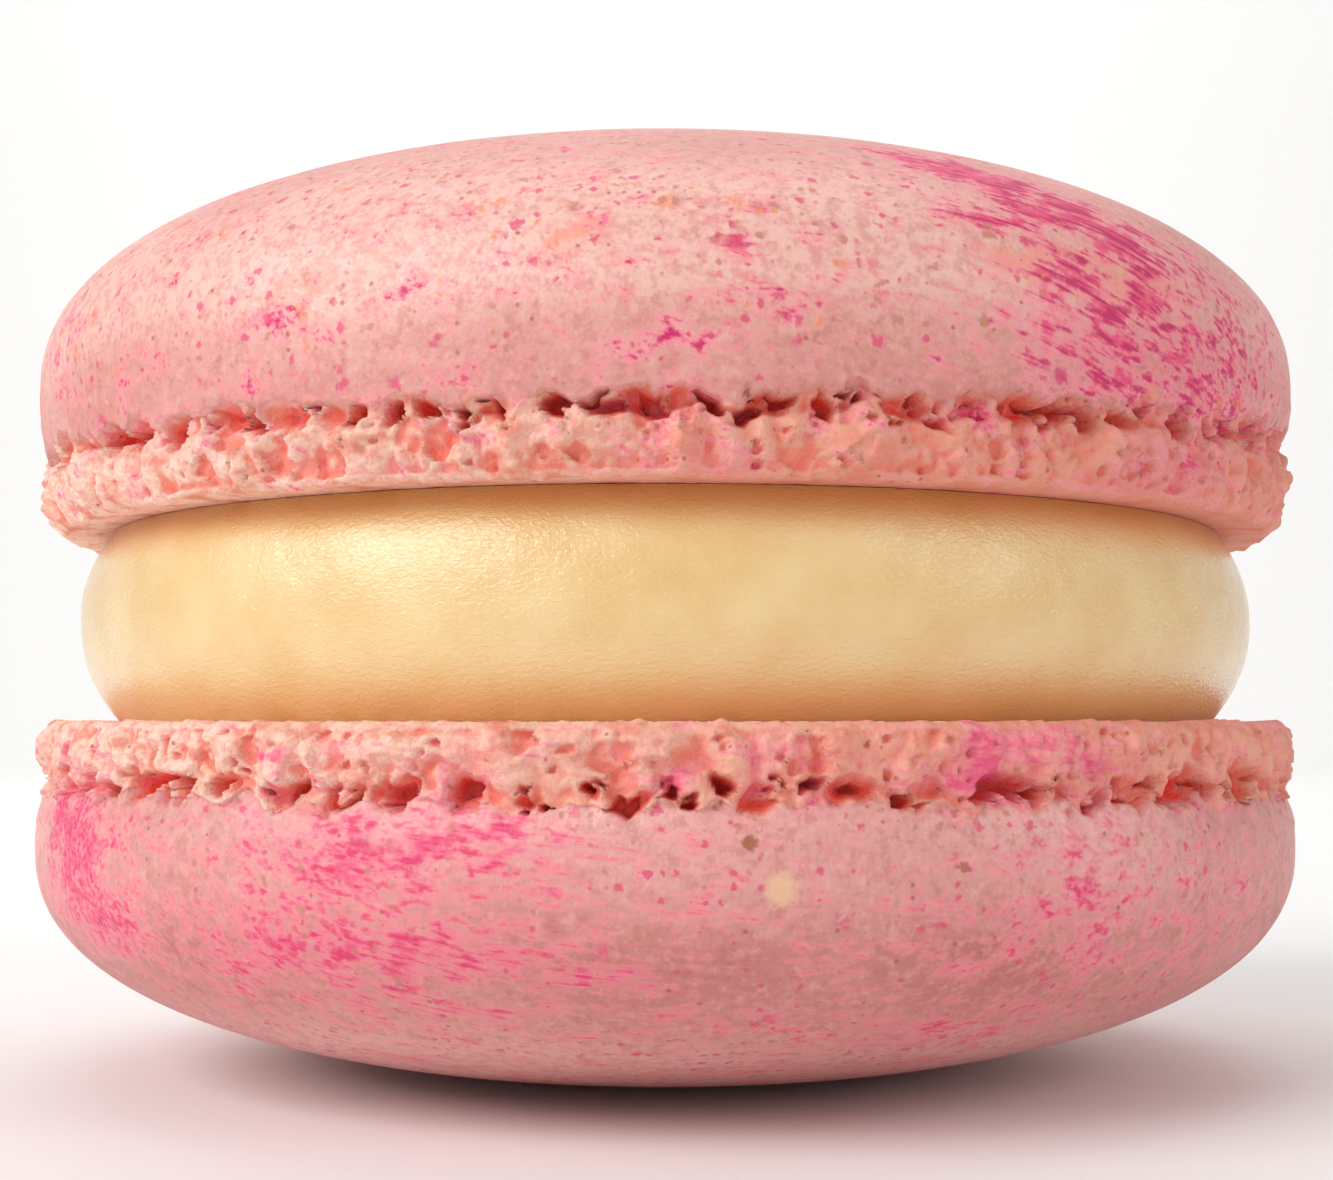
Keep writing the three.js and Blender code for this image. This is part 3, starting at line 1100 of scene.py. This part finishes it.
    def strokes(self, direction: Triple, length: float, width: float) -> Socket:
        """Adds noise drawn out along one direction, like brush strokes.

        Args:
            direction: the way they run.
            length: how long they are, in millimetres.
            width: how wide they are.

        Returns:
            Numbers round one half.
        """
        turn = Vector(direction).to_track_quat("X", "Z").to_euler()
        inputs = {"Vector": self.place, "Rotation": tuple(turn), "Scale": (length, width, width)}
        place = self.node("ShaderNodeMapping", inputs, vector_type="TEXTURE").outputs[0]
        inputs = {"Vector": place, "Scale": 1.0, "Detail": 2.0}
        return self.node("ShaderNodeTexNoise", inputs).outputs["Fac"]

    def bump(self, relief: Input) -> Socket:
        """Turns a relief in millimetres into a normal."""
        inputs = {"Strength": 1.0, "Distance": MM, "Height": relief}
        return self.node("ShaderNodeBump", inputs).outputs["Normal"]

    def surface(self, **inputs: Input) -> bpy.types.Material:
        """Ends the material with its shader.

        Args:
            inputs: the shader's inputs, with underscores for spaces.

        Returns:
            The finished material.
        """
        named = {name.replace("_", " "): value for name, value in inputs.items()}
        shader = self.node("ShaderNodeBsdfPrincipled", named)
        self.node("ShaderNodeOutputMaterial", {"Surface": shader.outputs["BSDF"]})
        return self.result


CERISE = (0.72, 0.05, 0.16)
BLUSH = (0.82, 0.2, 0.22)
ORANGE = (0.84, 0.25, 0.1)
TAN = (0.58, 0.2, 0.14)


@dataclass(frozen=True)
class Flecks:
    """Small marks scattered over a surface, in millimetres."""

    cell: float
    largest: float
    strength: float
    offset: float
    colours: tuple[Colour, ...]
    soft: float = 0.3
    fray: float = 0.2


FLECKS = (
    Flecks(0.95, 0.4, 0.65, 23.3, (ORANGE, BLUSH, TAN, BLUSH), 0.5, 1.0),
    Flecks(0.56, 0.26, 0.85, 37.9, (CERISE, TAN, ORANGE, CERISE, TAN), 0.5, 0.6),
    Flecks(0.39, 0.18, 0.85, 71.7, (CERISE, TAN, BLUSH, ORANGE, TAN), 0.4, 0.35),
)


@dataclass(frozen=True)
class Blot:
    """One mark at a known place, in millimetres of the whole macaron."""

    centre: Triple
    radius: float
    colour: Colour
    strength: float
    core: float = 0.45


@dataclass(frozen=True)
class Wash:
    """How far one colour covers another: not at all up to low, and fully from high on."""

    low: float
    high: float
    cover: float = 1.0


@dataclass(frozen=True)
class MeringueFinish:
    """The pink meringue: satin skin with pores and brushed colour, and matt foam, with painted shade and
    light.
    """

    name: str
    skin_pale: Colour
    skin_deep: Colour
    skin_light: Colour = (0.92, 0.54, 0.46)
    # The next colour is painted light: the paler foam of the left side, where the key light falls.
    foam_lit: Colour = (0.95, 0.67, 0.52)
    foam_pale: Colour = (0.84, 0.37, 0.245)
    foam_deep: Colour = (0.78, 0.235, 0.165)
    foam_rose: Colour = (0.82, 0.22, 0.25)
    # The next two colours are painted shade and glow in the foam's hollows: darker peach, then a bright
    # deep red as of light glowing through the meringue.
    hollow_peach: Colour = (0.84, 0.19, 0.125)
    hollow_red: Colour = (0.92, 0.085, 0.045)
    berry: Colour = (0.82, 0.06, 0.19)
    berry_pale: Colour = (0.93, 0.3, 0.34)
    berry_dark: Colour = (0.52, 0.008, 0.12)
    amber: Colour = (0.88, 0.28, 0.16)
    grain_scale: float = 2.4
    grain_detail: float = 2.0
    grain_roughness: float = 0.75
    stroke: Triple = (1.0, 0.0, 0.0)
    stroke_length: float = 2.2
    stroke_width: float = 0.17
    mottle_strokes: float = 0.35
    mottle_wash: Wash = Wash(0.57, 0.88, 0.5)
    light_wash: Wash = Wash(0.44, 0.82, 0.4)
    cloud_cell: float = 1.3
    cloud_detail: float = 3.0
    cloud_offset: float = 61.0
    cloud_stretch: Triple = (1, 1, 1.8)
    amber_lift: float = 0.45
    amber_wash: Wash = Wash(0.57, 0.88, 0.85)
    berry_lift: float = 0.46
    berry_fray: float = 0.5
    berry_strokes: float = 0.6
    pale_wash: Wash = Wash(1.02, 1.36, 0.85)
    dark_wash: Wash = Wash(1.2, 1.5, 0.92)
    thread_wash: Wash = Wash(0.48, 0.6, 0.85)
    flecks: tuple[Flecks, ...] = FLECKS
    crowd_blush: Span = (0.2, 0.8)
    crowd: Span = (0.72, 1.0)
    pores: Flecks = Flecks(
        0.42, 0.14, 0.75, 3.1, ((0.4, 0.05, 0.04), (0.6, 0.14, 0.1), (0.5, 0.09, 0.07)), 0.5, 0.1
    )
    pore_crowd: float = 0.8
    foam_lit_span: Span = (-17.0, 10.0)
    froth_crumb: float = 0.5
    froth_level: Span = (0.5, 0.85)
    rose_wash: Wash = Wash(0.55, 0.95, 0.6)
    hollow_shade_wash: Wash = Wash(0.08, 0.42, 0.85)
    hollow_glow_wash: Wash = Wash(0.5, 1.0, 0.95)
    blot_fray: float = 0.45
    relief_cell: float = 0.15
    relief_detail: float = 2.0
    relief_offset: float = 19.0
    relief: Span = (0.07, 0.025)
    roughness: Span = (0.7, 0.48)
    gloss: Span = (0.95, 0.4)

    def material(self, blots: list["Blot"]) -> bpy.types.Material:
        """Makes the meringue's material.

        Args:
            blots: single marks at known places.

        Returns:
            The material.
        """
        bench = Bench(self.name)
        skin = bench.mark("skin")
        hollow = bench.mark("hollow")
        blush = bench.mark("blush")
        inputs = {
            "Vector": bench.place,
            "Scale": self.grain_scale,
            "Detail": self.grain_detail,
            "Roughness": self.grain_roughness,
        }
        grain = bench.node("ShaderNodeTexNoise", inputs).outputs["Color"]
        drift = bench.vector("SUBTRACT", grain, (0.5, 0.5, 0.5))
        mottle, berry_grain, crumb = bench.node("ShaderNodeSeparateColor", {0: grain}).outputs
        # The tone mark holds painted shade and painted light as well as the skin's random tone.
        colour = bench.mix(bench.mark("tone"), self.skin_pale, self.skin_deep)
        strokes = bench.strokes(self.stroke, self.stroke_length, self.stroke_width)
        mottle = bench.sum("MULTIPLY_ADD", strokes, self.mottle_strokes, mottle)
        colour = bench.wash(colour, self.skin_deep, mottle, self.mottle_wash)
        colour = bench.wash(colour, self.skin_light, crumb, self.light_wash)

        cloud = bench.noise(
            self.cloud_cell, self.cloud_detail, self.cloud_offset, self.cloud_stretch
        )
        amber = bench.sum("MULTIPLY_ADD", bench.mark("amber"), self.amber_lift, cloud)
        colour = bench.wash(colour, self.amber, amber, self.amber_wash)
        berry = bench.sum("MULTIPLY_ADD", bench.mark("berry"), self.berry_lift, cloud)
        berry = bench.sum("MULTIPLY_ADD", strokes, self.berry_strokes, berry)
        berry = bench.sum("MULTIPLY_ADD", berry_grain, self.berry_fray, berry)
        pale, dark = (
            bench.ease(berry, wash.low, wash.high, 0.0, wash.cover)
            for wash in (self.pale_wash, self.dark_wash)
        )
        colour = bench.mix(dark, bench.mix(pale, colour, self.berry_pale), self.berry)
        threads = bench.ease(
            strokes, self.thread_wash.low, self.thread_wash.high, 0.0, self.thread_wash.cover
        )
        colour = bench.mix(bench.sum("MULTIPLY", dark, threads), colour, self.berry_dark)
        crowd = bench.ease(blush, *self.crowd_blush, *self.crowd)
        for kind in self.flecks:
            colour = bench.flecks(colour, kind, drift, crowd)

        # Painted light: the foam is paler towards the left, where the key light falls, than on the right.
        side = bench.node("ShaderNodeSeparateXYZ", {0: bench.place}).outputs["X"]
        foam = bench.mix(bench.ease(side, *self.foam_lit_span), self.foam_lit, self.foam_pale)
        froth = bench.sum("MULTIPLY_ADD", crumb, self.froth_crumb, cloud)
        foam = bench.mix(bench.ease(froth, *self.froth_level), self.foam_deep, foam)
        foam = bench.wash(foam, self.foam_rose, blush, self.rose_wash)
        # Painted shade and glow: hollows and creases turn peach, then deep red, in place of shade and of
        # light glowing through the meringue.
        foam = bench.wash(foam, self.hollow_peach, hollow, self.hollow_shade_wash)
        foam = bench.wash(foam, self.hollow_red, hollow, self.hollow_glow_wash)
        foam = bench.mix(dark, bench.mix(pale, foam, self.berry_pale), self.berry)
        colour = bench.mix(skin, foam, colour)
        colour = bench.flecks(colour, self.pores, drift, self.pore_crowd)
        ragged = bench.vector("MULTIPLY_ADD", drift, (self.blot_fray,) * 3, bench.place)
        colour = bench.blots(colour, blots, ragged)

        relief = bench.noise(self.relief_cell, self.relief_detail, self.relief_offset)
        relief = bench.sum("MULTIPLY", relief, bench.ease(skin, 0.0, 1.0, *self.relief))
        return bench.surface(
            Base_Color=colour,
            Roughness=bench.ease(skin, 0.0, 1.0, *self.roughness),
            Normal=bench.bump(relief),
            Specular_IOR_Level=bench.ease(dark, 0.0, 1.0, *self.gloss),
        )


@dataclass(frozen=True)
class CreamFinish:
    """The vanilla cream: pale yellow, wet, with fine wrinkles, and darker orange along both seams, partly
    painted shade.
    """

    name: str = "vanilla_cream"
    pale: Colour = (0.87, 0.65, 0.32)
    deep: Colour = (0.81, 0.545, 0.22)
    # The two seam colours are partly the cream's own darker colour next to the shells and partly painted
    # shade with the pink light the shells throw back.
    top_seam_shade: Colour = (0.66, 0.28, 0.055)
    bottom_seam_shade: Colour = (0.77, 0.475, 0.17)
    cloud_cell: float = 3.0
    cloud_detail: float = 3.0
    cloud_offset: float = 3.0
    cloud_level: Span = (0.3, 0.7)
    top_shade_wash: Wash = Wash(0.5, 1.0, 0.8)
    bottom_shade_wash: Wash = Wash(-0.5, -1.0, 0.8)
    specks: Flecks = Flecks(1.6, 0.3, 0.75, 7.7, ((0.9, 0.55, 0.08), (0.4, 0.2, 0.08)))
    speck_crowd: float = 0.4
    wrinkle: float = 0.04
    wrinkle_scale: float = 5.5
    wrinkle_detail: float = 2.0
    wrinkle_bend: float = 0.7
    wrinkle_stretch: Triple = (1, 1, 1.6)
    roughness: float = 0.36
    gloss: float = 0.7
    film: float = 0.75
    film_roughness: float = 0.11
    softness: float = 0.4
    soft_colours: Triple = (1.0, 0.6, 0.3)
    soft_depth: float = 1.2 * MM

    def material(self) -> bpy.types.Material:
        """Makes the cream's material."""
        bench = Bench(self.name)
        seam = bench.mark("seam")
        cloud = bench.noise(self.cloud_cell, self.cloud_detail, self.cloud_offset)
        colour = bench.mix(bench.ease(cloud, *self.cloud_level), self.pale, self.deep)
        # Painted shade: darker and more orange towards the upper shell and towards the lower one.
        colour = bench.wash(colour, self.top_seam_shade, seam, self.top_shade_wash)
        colour = bench.wash(colour, self.bottom_seam_shade, seam, self.bottom_shade_wash)
        colour = bench.flecks(colour, self.specks, (0.0, 0.0, 0.0), self.speck_crowd)
        grain = {
            "Vector": bench.vector("MULTIPLY", bench.place, self.wrinkle_stretch),
            "Scale": self.wrinkle_scale,
            "Detail": self.wrinkle_detail,
            "Distortion": self.wrinkle_bend,
        }
        wrinkle = bench.node("ShaderNodeTexNoise", grain).outputs["Fac"]
        normal = bench.bump(bench.sum("MULTIPLY", wrinkle, self.wrinkle))
        return bench.surface(
            Base_Color=colour,
            Roughness=self.roughness,
            Normal=normal,
            Specular_IOR_Level=self.gloss,
            Coat_Weight=self.film,
            Coat_Roughness=self.film_roughness,
            Coat_Normal=normal,
            Subsurface_Weight=self.softness,
            Subsurface_Radius=self.soft_colours,
            Subsurface_Scale=self.soft_depth,
        )


@dataclass(frozen=True)
class SoftLight:
    """An oblong light: its place, its width and height in metres, its watts and what it faces."""

    name: str
    place: Triple
    size: Span
    power: float
    towards: Triple = (0.0, 0.0, 0.016)


@dataclass
class Studio:
    """The pale sweep, the soft lights and the camera."""

    width: float = 1.6
    front: float = -0.9
    back: float = 0.5
    curve: float = 0.25
    bend_steps: int = 24
    wall: float = 0.8
    paper: Colour = (0.93, 0.93, 0.93)
    paper_roughness: float = 0.8
    world: float = 0.52
    world_colour: Colour = (1.0, 0.955, 0.93)
    light_colour: Colour = (0.98, 1.0, 1.0)
    eye: Triple = (0.00004, -0.0855, 0.0122)
    pitch: float = 3.2606
    lens: float = 62.57
    sensor: float = 36.0
    nearest: float = 0.005
    lights: tuple[SoftLight, ...] = (
        SoftLight("key_light", (-0.37, -0.27, 0.31), (0.45, 0.3), 1.9),
        SoftLight("fill_light", (0.36, -0.20, 0.20), (0.13, 0.2), 0.23),
        SoftLight("backdrop_light", (0.0, 0.2, 0.6), (0.6, 0.2), 2.0, (0.0, 0.75, 0.1)),
    )

    def floor(self) -> bpy.types.Object:
        """Makes the floor, which curves up into the backdrop.

        Returns:
            The sweep.
        """
        bend = np.linspace(0, math.pi / 2, self.bend_steps)
        profile = [(self.front, 0.0)]
        for angle in bend:
            rise = self.curve * (1 - math.cos(angle))
            profile.append((self.back + self.curve * math.sin(angle), rise))
        profile.append((self.back + self.curve, self.wall))
        points = [(x, y, z) for y, z in profile for x in (-self.width / 2, self.width / 2)]
        faces = [(i, i + 1, i + 3, i + 2) for i in range(0, len(points) - 2, 2)]
        mesh = bpy.data.meshes.new("studio_floor")
        mesh.from_pydata(points, [], faces)
        mesh.shade_smooth()
        sweep = bpy.data.objects.new("studio_floor", mesh)
        bpy.context.scene.collection.objects.link(sweep)
        paper = Bench("studio_paper")
        paper.surface(Base_Color=(*self.paper, 1.0), Roughness=self.paper_roughness)
        mesh.materials.append(paper.result)
        return sweep

    def light(self, light: SoftLight) -> None:
        """Adds one of the lights."""
        data = bpy.data.lights.new(light.name, "AREA")
        data.shape = "RECTANGLE"
        data.size, data.size_y = light.size
        data.energy = light.power
        data.color = self.light_colour
        lamp = bpy.data.objects.new(light.name, data)
        lamp.location = light.place
        facing = Vector(light.towards) - Vector(light.place)
        lamp.rotation_euler = facing.to_track_quat("-Z", "Y").to_euler()
        bpy.context.scene.collection.objects.link(lamp)

    def build(self) -> None:
        """Sets up the floor, the lights and the camera."""
        self.floor()
        world = bpy.data.worlds.new("studio_air")
        world.use_nodes = True
        back = world.node_tree.nodes["Background"]
        back.inputs["Color"].default_value = (*self.world_colour, 1)
        back.inputs["Strength"].default_value = self.world
        bpy.context.scene.world = world
        bpy.context.scene.view_settings.view_transform = "Standard"
        for light in self.lights:
            self.light(light)
        data = bpy.data.cameras.new("photo_camera")
        data.lens = self.lens
        data.sensor_width = self.sensor
        data.clip_start = self.nearest
        camera = bpy.data.objects.new("photo_camera", data)
        camera.location = self.eye
        camera.rotation_euler = (math.radians(90 + self.pitch), 0, 0)
        bpy.context.scene.collection.objects.link(camera)
        bpy.context.scene.camera = camera


UPPER_BERRY = (
    Dab(-65.2, 6.8, 1.6, 0.8, 0.75),
    Dab(-61.8, 5.5, 1.7, 0.8, 0.9),
    Dab(-57.5, 4.6, 1.6, 0.7, 1.0),
    Dab(-53.0, 3.7, 1.5, 0.6, 1.0),
    Dab(-49.0, 2.9, 1.2, 0.6, 0.9),
    Dab(-64.2, 3.3, 0.9, 0.4, 0.9),
    Dab(-60.3, 1.2, 1.5, 0.6, 0.65),
    Dab(-50.0, 1.1, 0.9, 0.4, 1.0),
    Dab(-54.8, 0.0, 2.0, 0.5, 0.7),
    Dab(-56.0, -1.0, 1.0, 0.5, 0.9),
    Dab(-45.8, -1.4, 1.5, 0.6, 0.6),
    Dab(-36.5, -1.5, 0.7, 0.5, 0.7),
    Dab(-40.0, 0.5, 2.6, 1.6, 0.4),
    Dab(-30.0, 0.3, 3.4, 2.6, 0.25),
    Dab(-53.0, 0.3, 3.6, 1.8, 0.35),
    Dab(-88.2, -0.9, 1.1, 0.35, 0.7),
    Dab(-94.0, -1.3, 0.5, 0.3, 0.5),
    Dab(-85.0, 1.9, 0.6, 0.3, 0.7),
    Dab(-82.5, 0.2, 0.8, 0.25, 0.7),
    Dab(-120.8, 0.1, 0.8, 0.35, 0.6),
    Dab(-109.2, 0.6, 0.25, 0.18, 1.0),
    Dab(-150.8, 0.4, 1.4, 1.4, 0.3),
    Dab(-137.5, -0.8, 0.7, 0.5, 0.3),
    Dab(-65.8, -2.9, 0.35, 0.3, 1.0),
    Dab(-89.8, -3.3, 1.1, 0.7, 0.35),
    Dab(-43.0, -3.6, 0.5, 0.5, 0.7),
    Dab(62.0, 3.0, 3.0, 1.2, 0.8),
    Dab(118.0, 0.3, 2.6, 0.9, 0.7),
    Dab(165.0, 1.6, 1.8, 1.0, 0.4),
)
UPPER_AMBER = (
    Dab(-59.8, 1.5, 2.0, 0.7, 1.0),
    Dab(-50.0, 1.4, 2.5, 1.0, 0.8),
    Dab(-96.5, 1.9, 0.9, 0.4, 0.6),
    Dab(-113.5, 1.4, 1.5, 0.5, 0.5),
    Dab(-120.0, 0.8, 1.1, 0.5, 0.4),
    Dab(75.0, 1.8, 2.0, 0.8, 0.7),
)
MAGENTA = (0.62, 0.03, 0.13)
ROSE = (0.72, 0.09, 0.17)
UPPER_SPOTS = (
    Spot(-109.2, 0.57, 0.24, MAGENTA, 0.9),
    Spot(-85.0, 1.79, 0.34, ROSE, 0.75),
    Spot(-59.3, -1.5, 0.32, MAGENTA, 0.85),
    Spot(-66.2, -0.16, 0.26, (0.5, 0.19, 0.08), 0.85),
)
LOWER_SPOTS = (
    Spot(-81.8, 0.5, 0.62, (0.86, 0.54, 0.3), 0.75),
    Spot(-84.0, -0.78, 0.3, (0.36, 0.09, 0.025), 0.9),
    Spot(-68.2, -0.02, 0.24, (0.4, 0.09, 0.04), 0.85),
)
LOWER_BERRY = (
    Dab(-143.5, 0.2, 1.2, 1.4, 1.0),
    Dab(-150.2, -0.9, 1.2, 1.2, 1.0),
    Dab(-139.3, 2.3, 1.4, 1.0, 0.85),
    Dab(-147.0, 1.5, 1.4, 1.4, 0.9),
    Dab(-109.2, -0.5, 2.4, 0.7, 0.7),
    Dab(-103.8, -0.8, 1.4, 0.5, 0.7),
    Dab(-114.0, 0.1, 1.7, 0.6, 0.65),
    Dab(-113.0, 2.2, 3.4, 0.7, 0.45),
    Dab(-121.5, 2.9, 2.6, 0.8, 0.5),
    Dab(-104.8, 2.6, 1.8, 0.5, 0.4),
    Dab(-111.2, 4.3, 2.8, 0.8, 0.35),
    Dab(-112.0, 1.2, 5.5, 2.0, 0.25),
    Dab(-57.0, 0.2, 0.8, 1.1, 0.5),
    Dab(-53.8, -0.9, 0.4, 0.4, 0.7),
    Dab(-67.8, 6.0, 2.4, 0.8, 0.6),
    Dab(-94.8, 3.2, 1.1, 0.35, 0.5),
    Dab(-37.8, 0.5, 1.2, 1.4, 0.35),
    Dab(-48.0, 2.4, 5.0, 2.0, 0.3),
    Dab(-60.0, 1.9, 1.8, 0.7, 0.4),
    Dab(-65.8, -3.3, 0.5, 0.5, 1.0),
    Dab(-60.4, -3.6, 0.7, 0.3, 0.8),
    Dab(-67.0, -2.4, 1.0, 0.35, 0.9),
    Dab(-55.4, -2.8, 0.5, 0.4, 0.9),
    Dab(-62.0, -3.0, 3.0, 0.8, 0.35),
    Dab(-80.0, -2.9, 1.2, 0.6, 0.4),
    Dab(-121.5, -3.1, 0.22, 0.2, 1.0),
    Dab(-119.6, -3.1, 0.22, 0.2, 1.0),
    Dab(-89.0, -2.5, 0.35, 0.3, 0.8),
    Dab(48.0, 0.6, 3.0, 1.0, 0.8),
    Dab(130.0, 2.0, 2.6, 1.2, 0.7),
)
LOWER_AMBER = (
    Dab(-95.0, -3.0, 2.0, 0.6, 0.2),
    Dab(20.0, 1.0, 2.0, 0.8, 0.4),
)


def main() -> None:
    """Builds the macaron from the bottom up, then the studio round it."""
    logging.basicConfig(level=logging.INFO, format="%(name)s: %(message)s")
    lower_low, lower_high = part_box("lower_shell")
    cream_low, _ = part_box("cream_filling")
    upper_low, upper_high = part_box("upper_shell")
    lean = math.radians(-1.0)
    gap = cream_low.z - lower_high.z
    thickness = 6.4 * MM
    lower = MeringueShell(
        ShellForm(
            half=Half.LOWER,
            dome_radius=min(lower_high.x, -lower_low.x, lower_high.y, -lower_low.y),
            equator=4.06 * MM,
            rise=8.32 * MM,
            rise_exponent=2.41,
            radius_exponent=2.2,
            crown=lower_high.z - lower_low.z,
            skin_edge_radius=22.0 * MM,
            foot_radius=22.2 * MM,
            foot_height=2.25 * MM,
            swing=(0.05 * MM, 0.06 * MM, 0.08 * MM),
            edge_rounding=0.4 * MM,
            edge_rounding_height=0.7 * MM,
            cavities=66,
            pores=60,
            draw=21,
        ),
        lift=lower_high.z,
        lean=0.0,
        berry=LOWER_BERRY,
        amber=LOWER_AMBER,
        spots=LOWER_SPOTS,
        # Painted shade: the lower shell is darkest just below its widest line, where it turns to face
        # down.
        shade_tones=(
            (-1.5 * MM, 0.3),
            (0.3 * MM, 0.4),
            (2.4 * MM, 0.78),
            (5.0 * MM, 0.58),
            (8.0 * MM, 0.05),
        ),
    )
    upper = MeringueShell(
        ShellForm(
            half=Half.UPPER,
            dome_radius=min(upper_high.x, -upper_low.x, upper_high.y, -upper_low.y),
            equator=4.7 * MM,
            rise=8.79 * MM,
            rise_exponent=2.46,
            radius_exponent=2.0,
            crown=13.45 * MM,
            skin_edge_radius=22.1 * MM,
            foot_radius=22.05 * MM,
            foot_height=2.9 * MM,
            swing=(0.3 * MM, 0.2 * MM, 0.55 * MM),
            edge_rounding=0.6 * MM,
            edge_rounding_height=1.0 * MM,
            cavities=62,
            pores=74,
            draw=1,
        ),
        lift=cream_low.z + thickness + gap,
        lean=lean,
        berry=UPPER_BERRY,
        amber=UPPER_AMBER,
        spots=UPPER_SPOTS,
        # Painted light: the first two dabs pale the left of the dome where the key light falls; the third
        # pales a patch just above the foot at the front right.
        pale=(
            Dab(-112.0, 3.5, 10.0, 4.0, 1.0),
            Dab(-150.0, 0.5, 7.0, 4.0, 0.75),
            Dab(-70.0, -0.6, 3.4, 1.3, 0.8),
        ),
        # Painted shade: the upper shell is darkest where it tucks under towards the foot, and darker again
        # towards the crown.
        shade_tones=(
            (-1.6 * MM, 0.85),
            (-0.4 * MM, 0.74),
            (1.2 * MM, 0.2),
            (3.0 * MM, 0.26),
            (5.0 * MM, 0.54),
        ),
    )
    cream = VanillaCream(floor=cream_low.z, thickness=thickness, lean=lean)
    upper_finish = MeringueFinish(
        "meringue_upper",
        (0.88, 0.5, 0.43),
        (0.57, 0.14, 0.117),
        foam_pale=(0.78, 0.325, 0.215),
        stroke=(0.86, 0.42, -0.3),
    )
    lower_finish = MeringueFinish(
        "meringue_lower",
        (0.88, 0.46, 0.42),
        (0.52, 0.13, 0.115),
        berry_pale=(0.92, 0.3, 0.33),
        berry=(0.82, 0.05, 0.2),
        berry_dark=(0.72, 0.02, 0.12),
        flecks=tuple(replace(kind, colours=(CERISE, TAN, BLUSH, TAN)) for kind in FLECKS),
        pale_wash=Wash(0.98, 1.4, 0.85),
        dark_wash=Wash(1.16, 1.6, 0.8),
        stroke=(1.0, 0.0, -0.12),
    )
    for piece in (lower.build(lower_finish), cream.build(CreamFinish()), upper.build(upper_finish)):
        log.info("%s: %d faces", piece.name, len(piece.data.polygons))
    Studio().build()
    log.info("studio: floor, lights and camera")


if __name__ == "__main__":
    main()
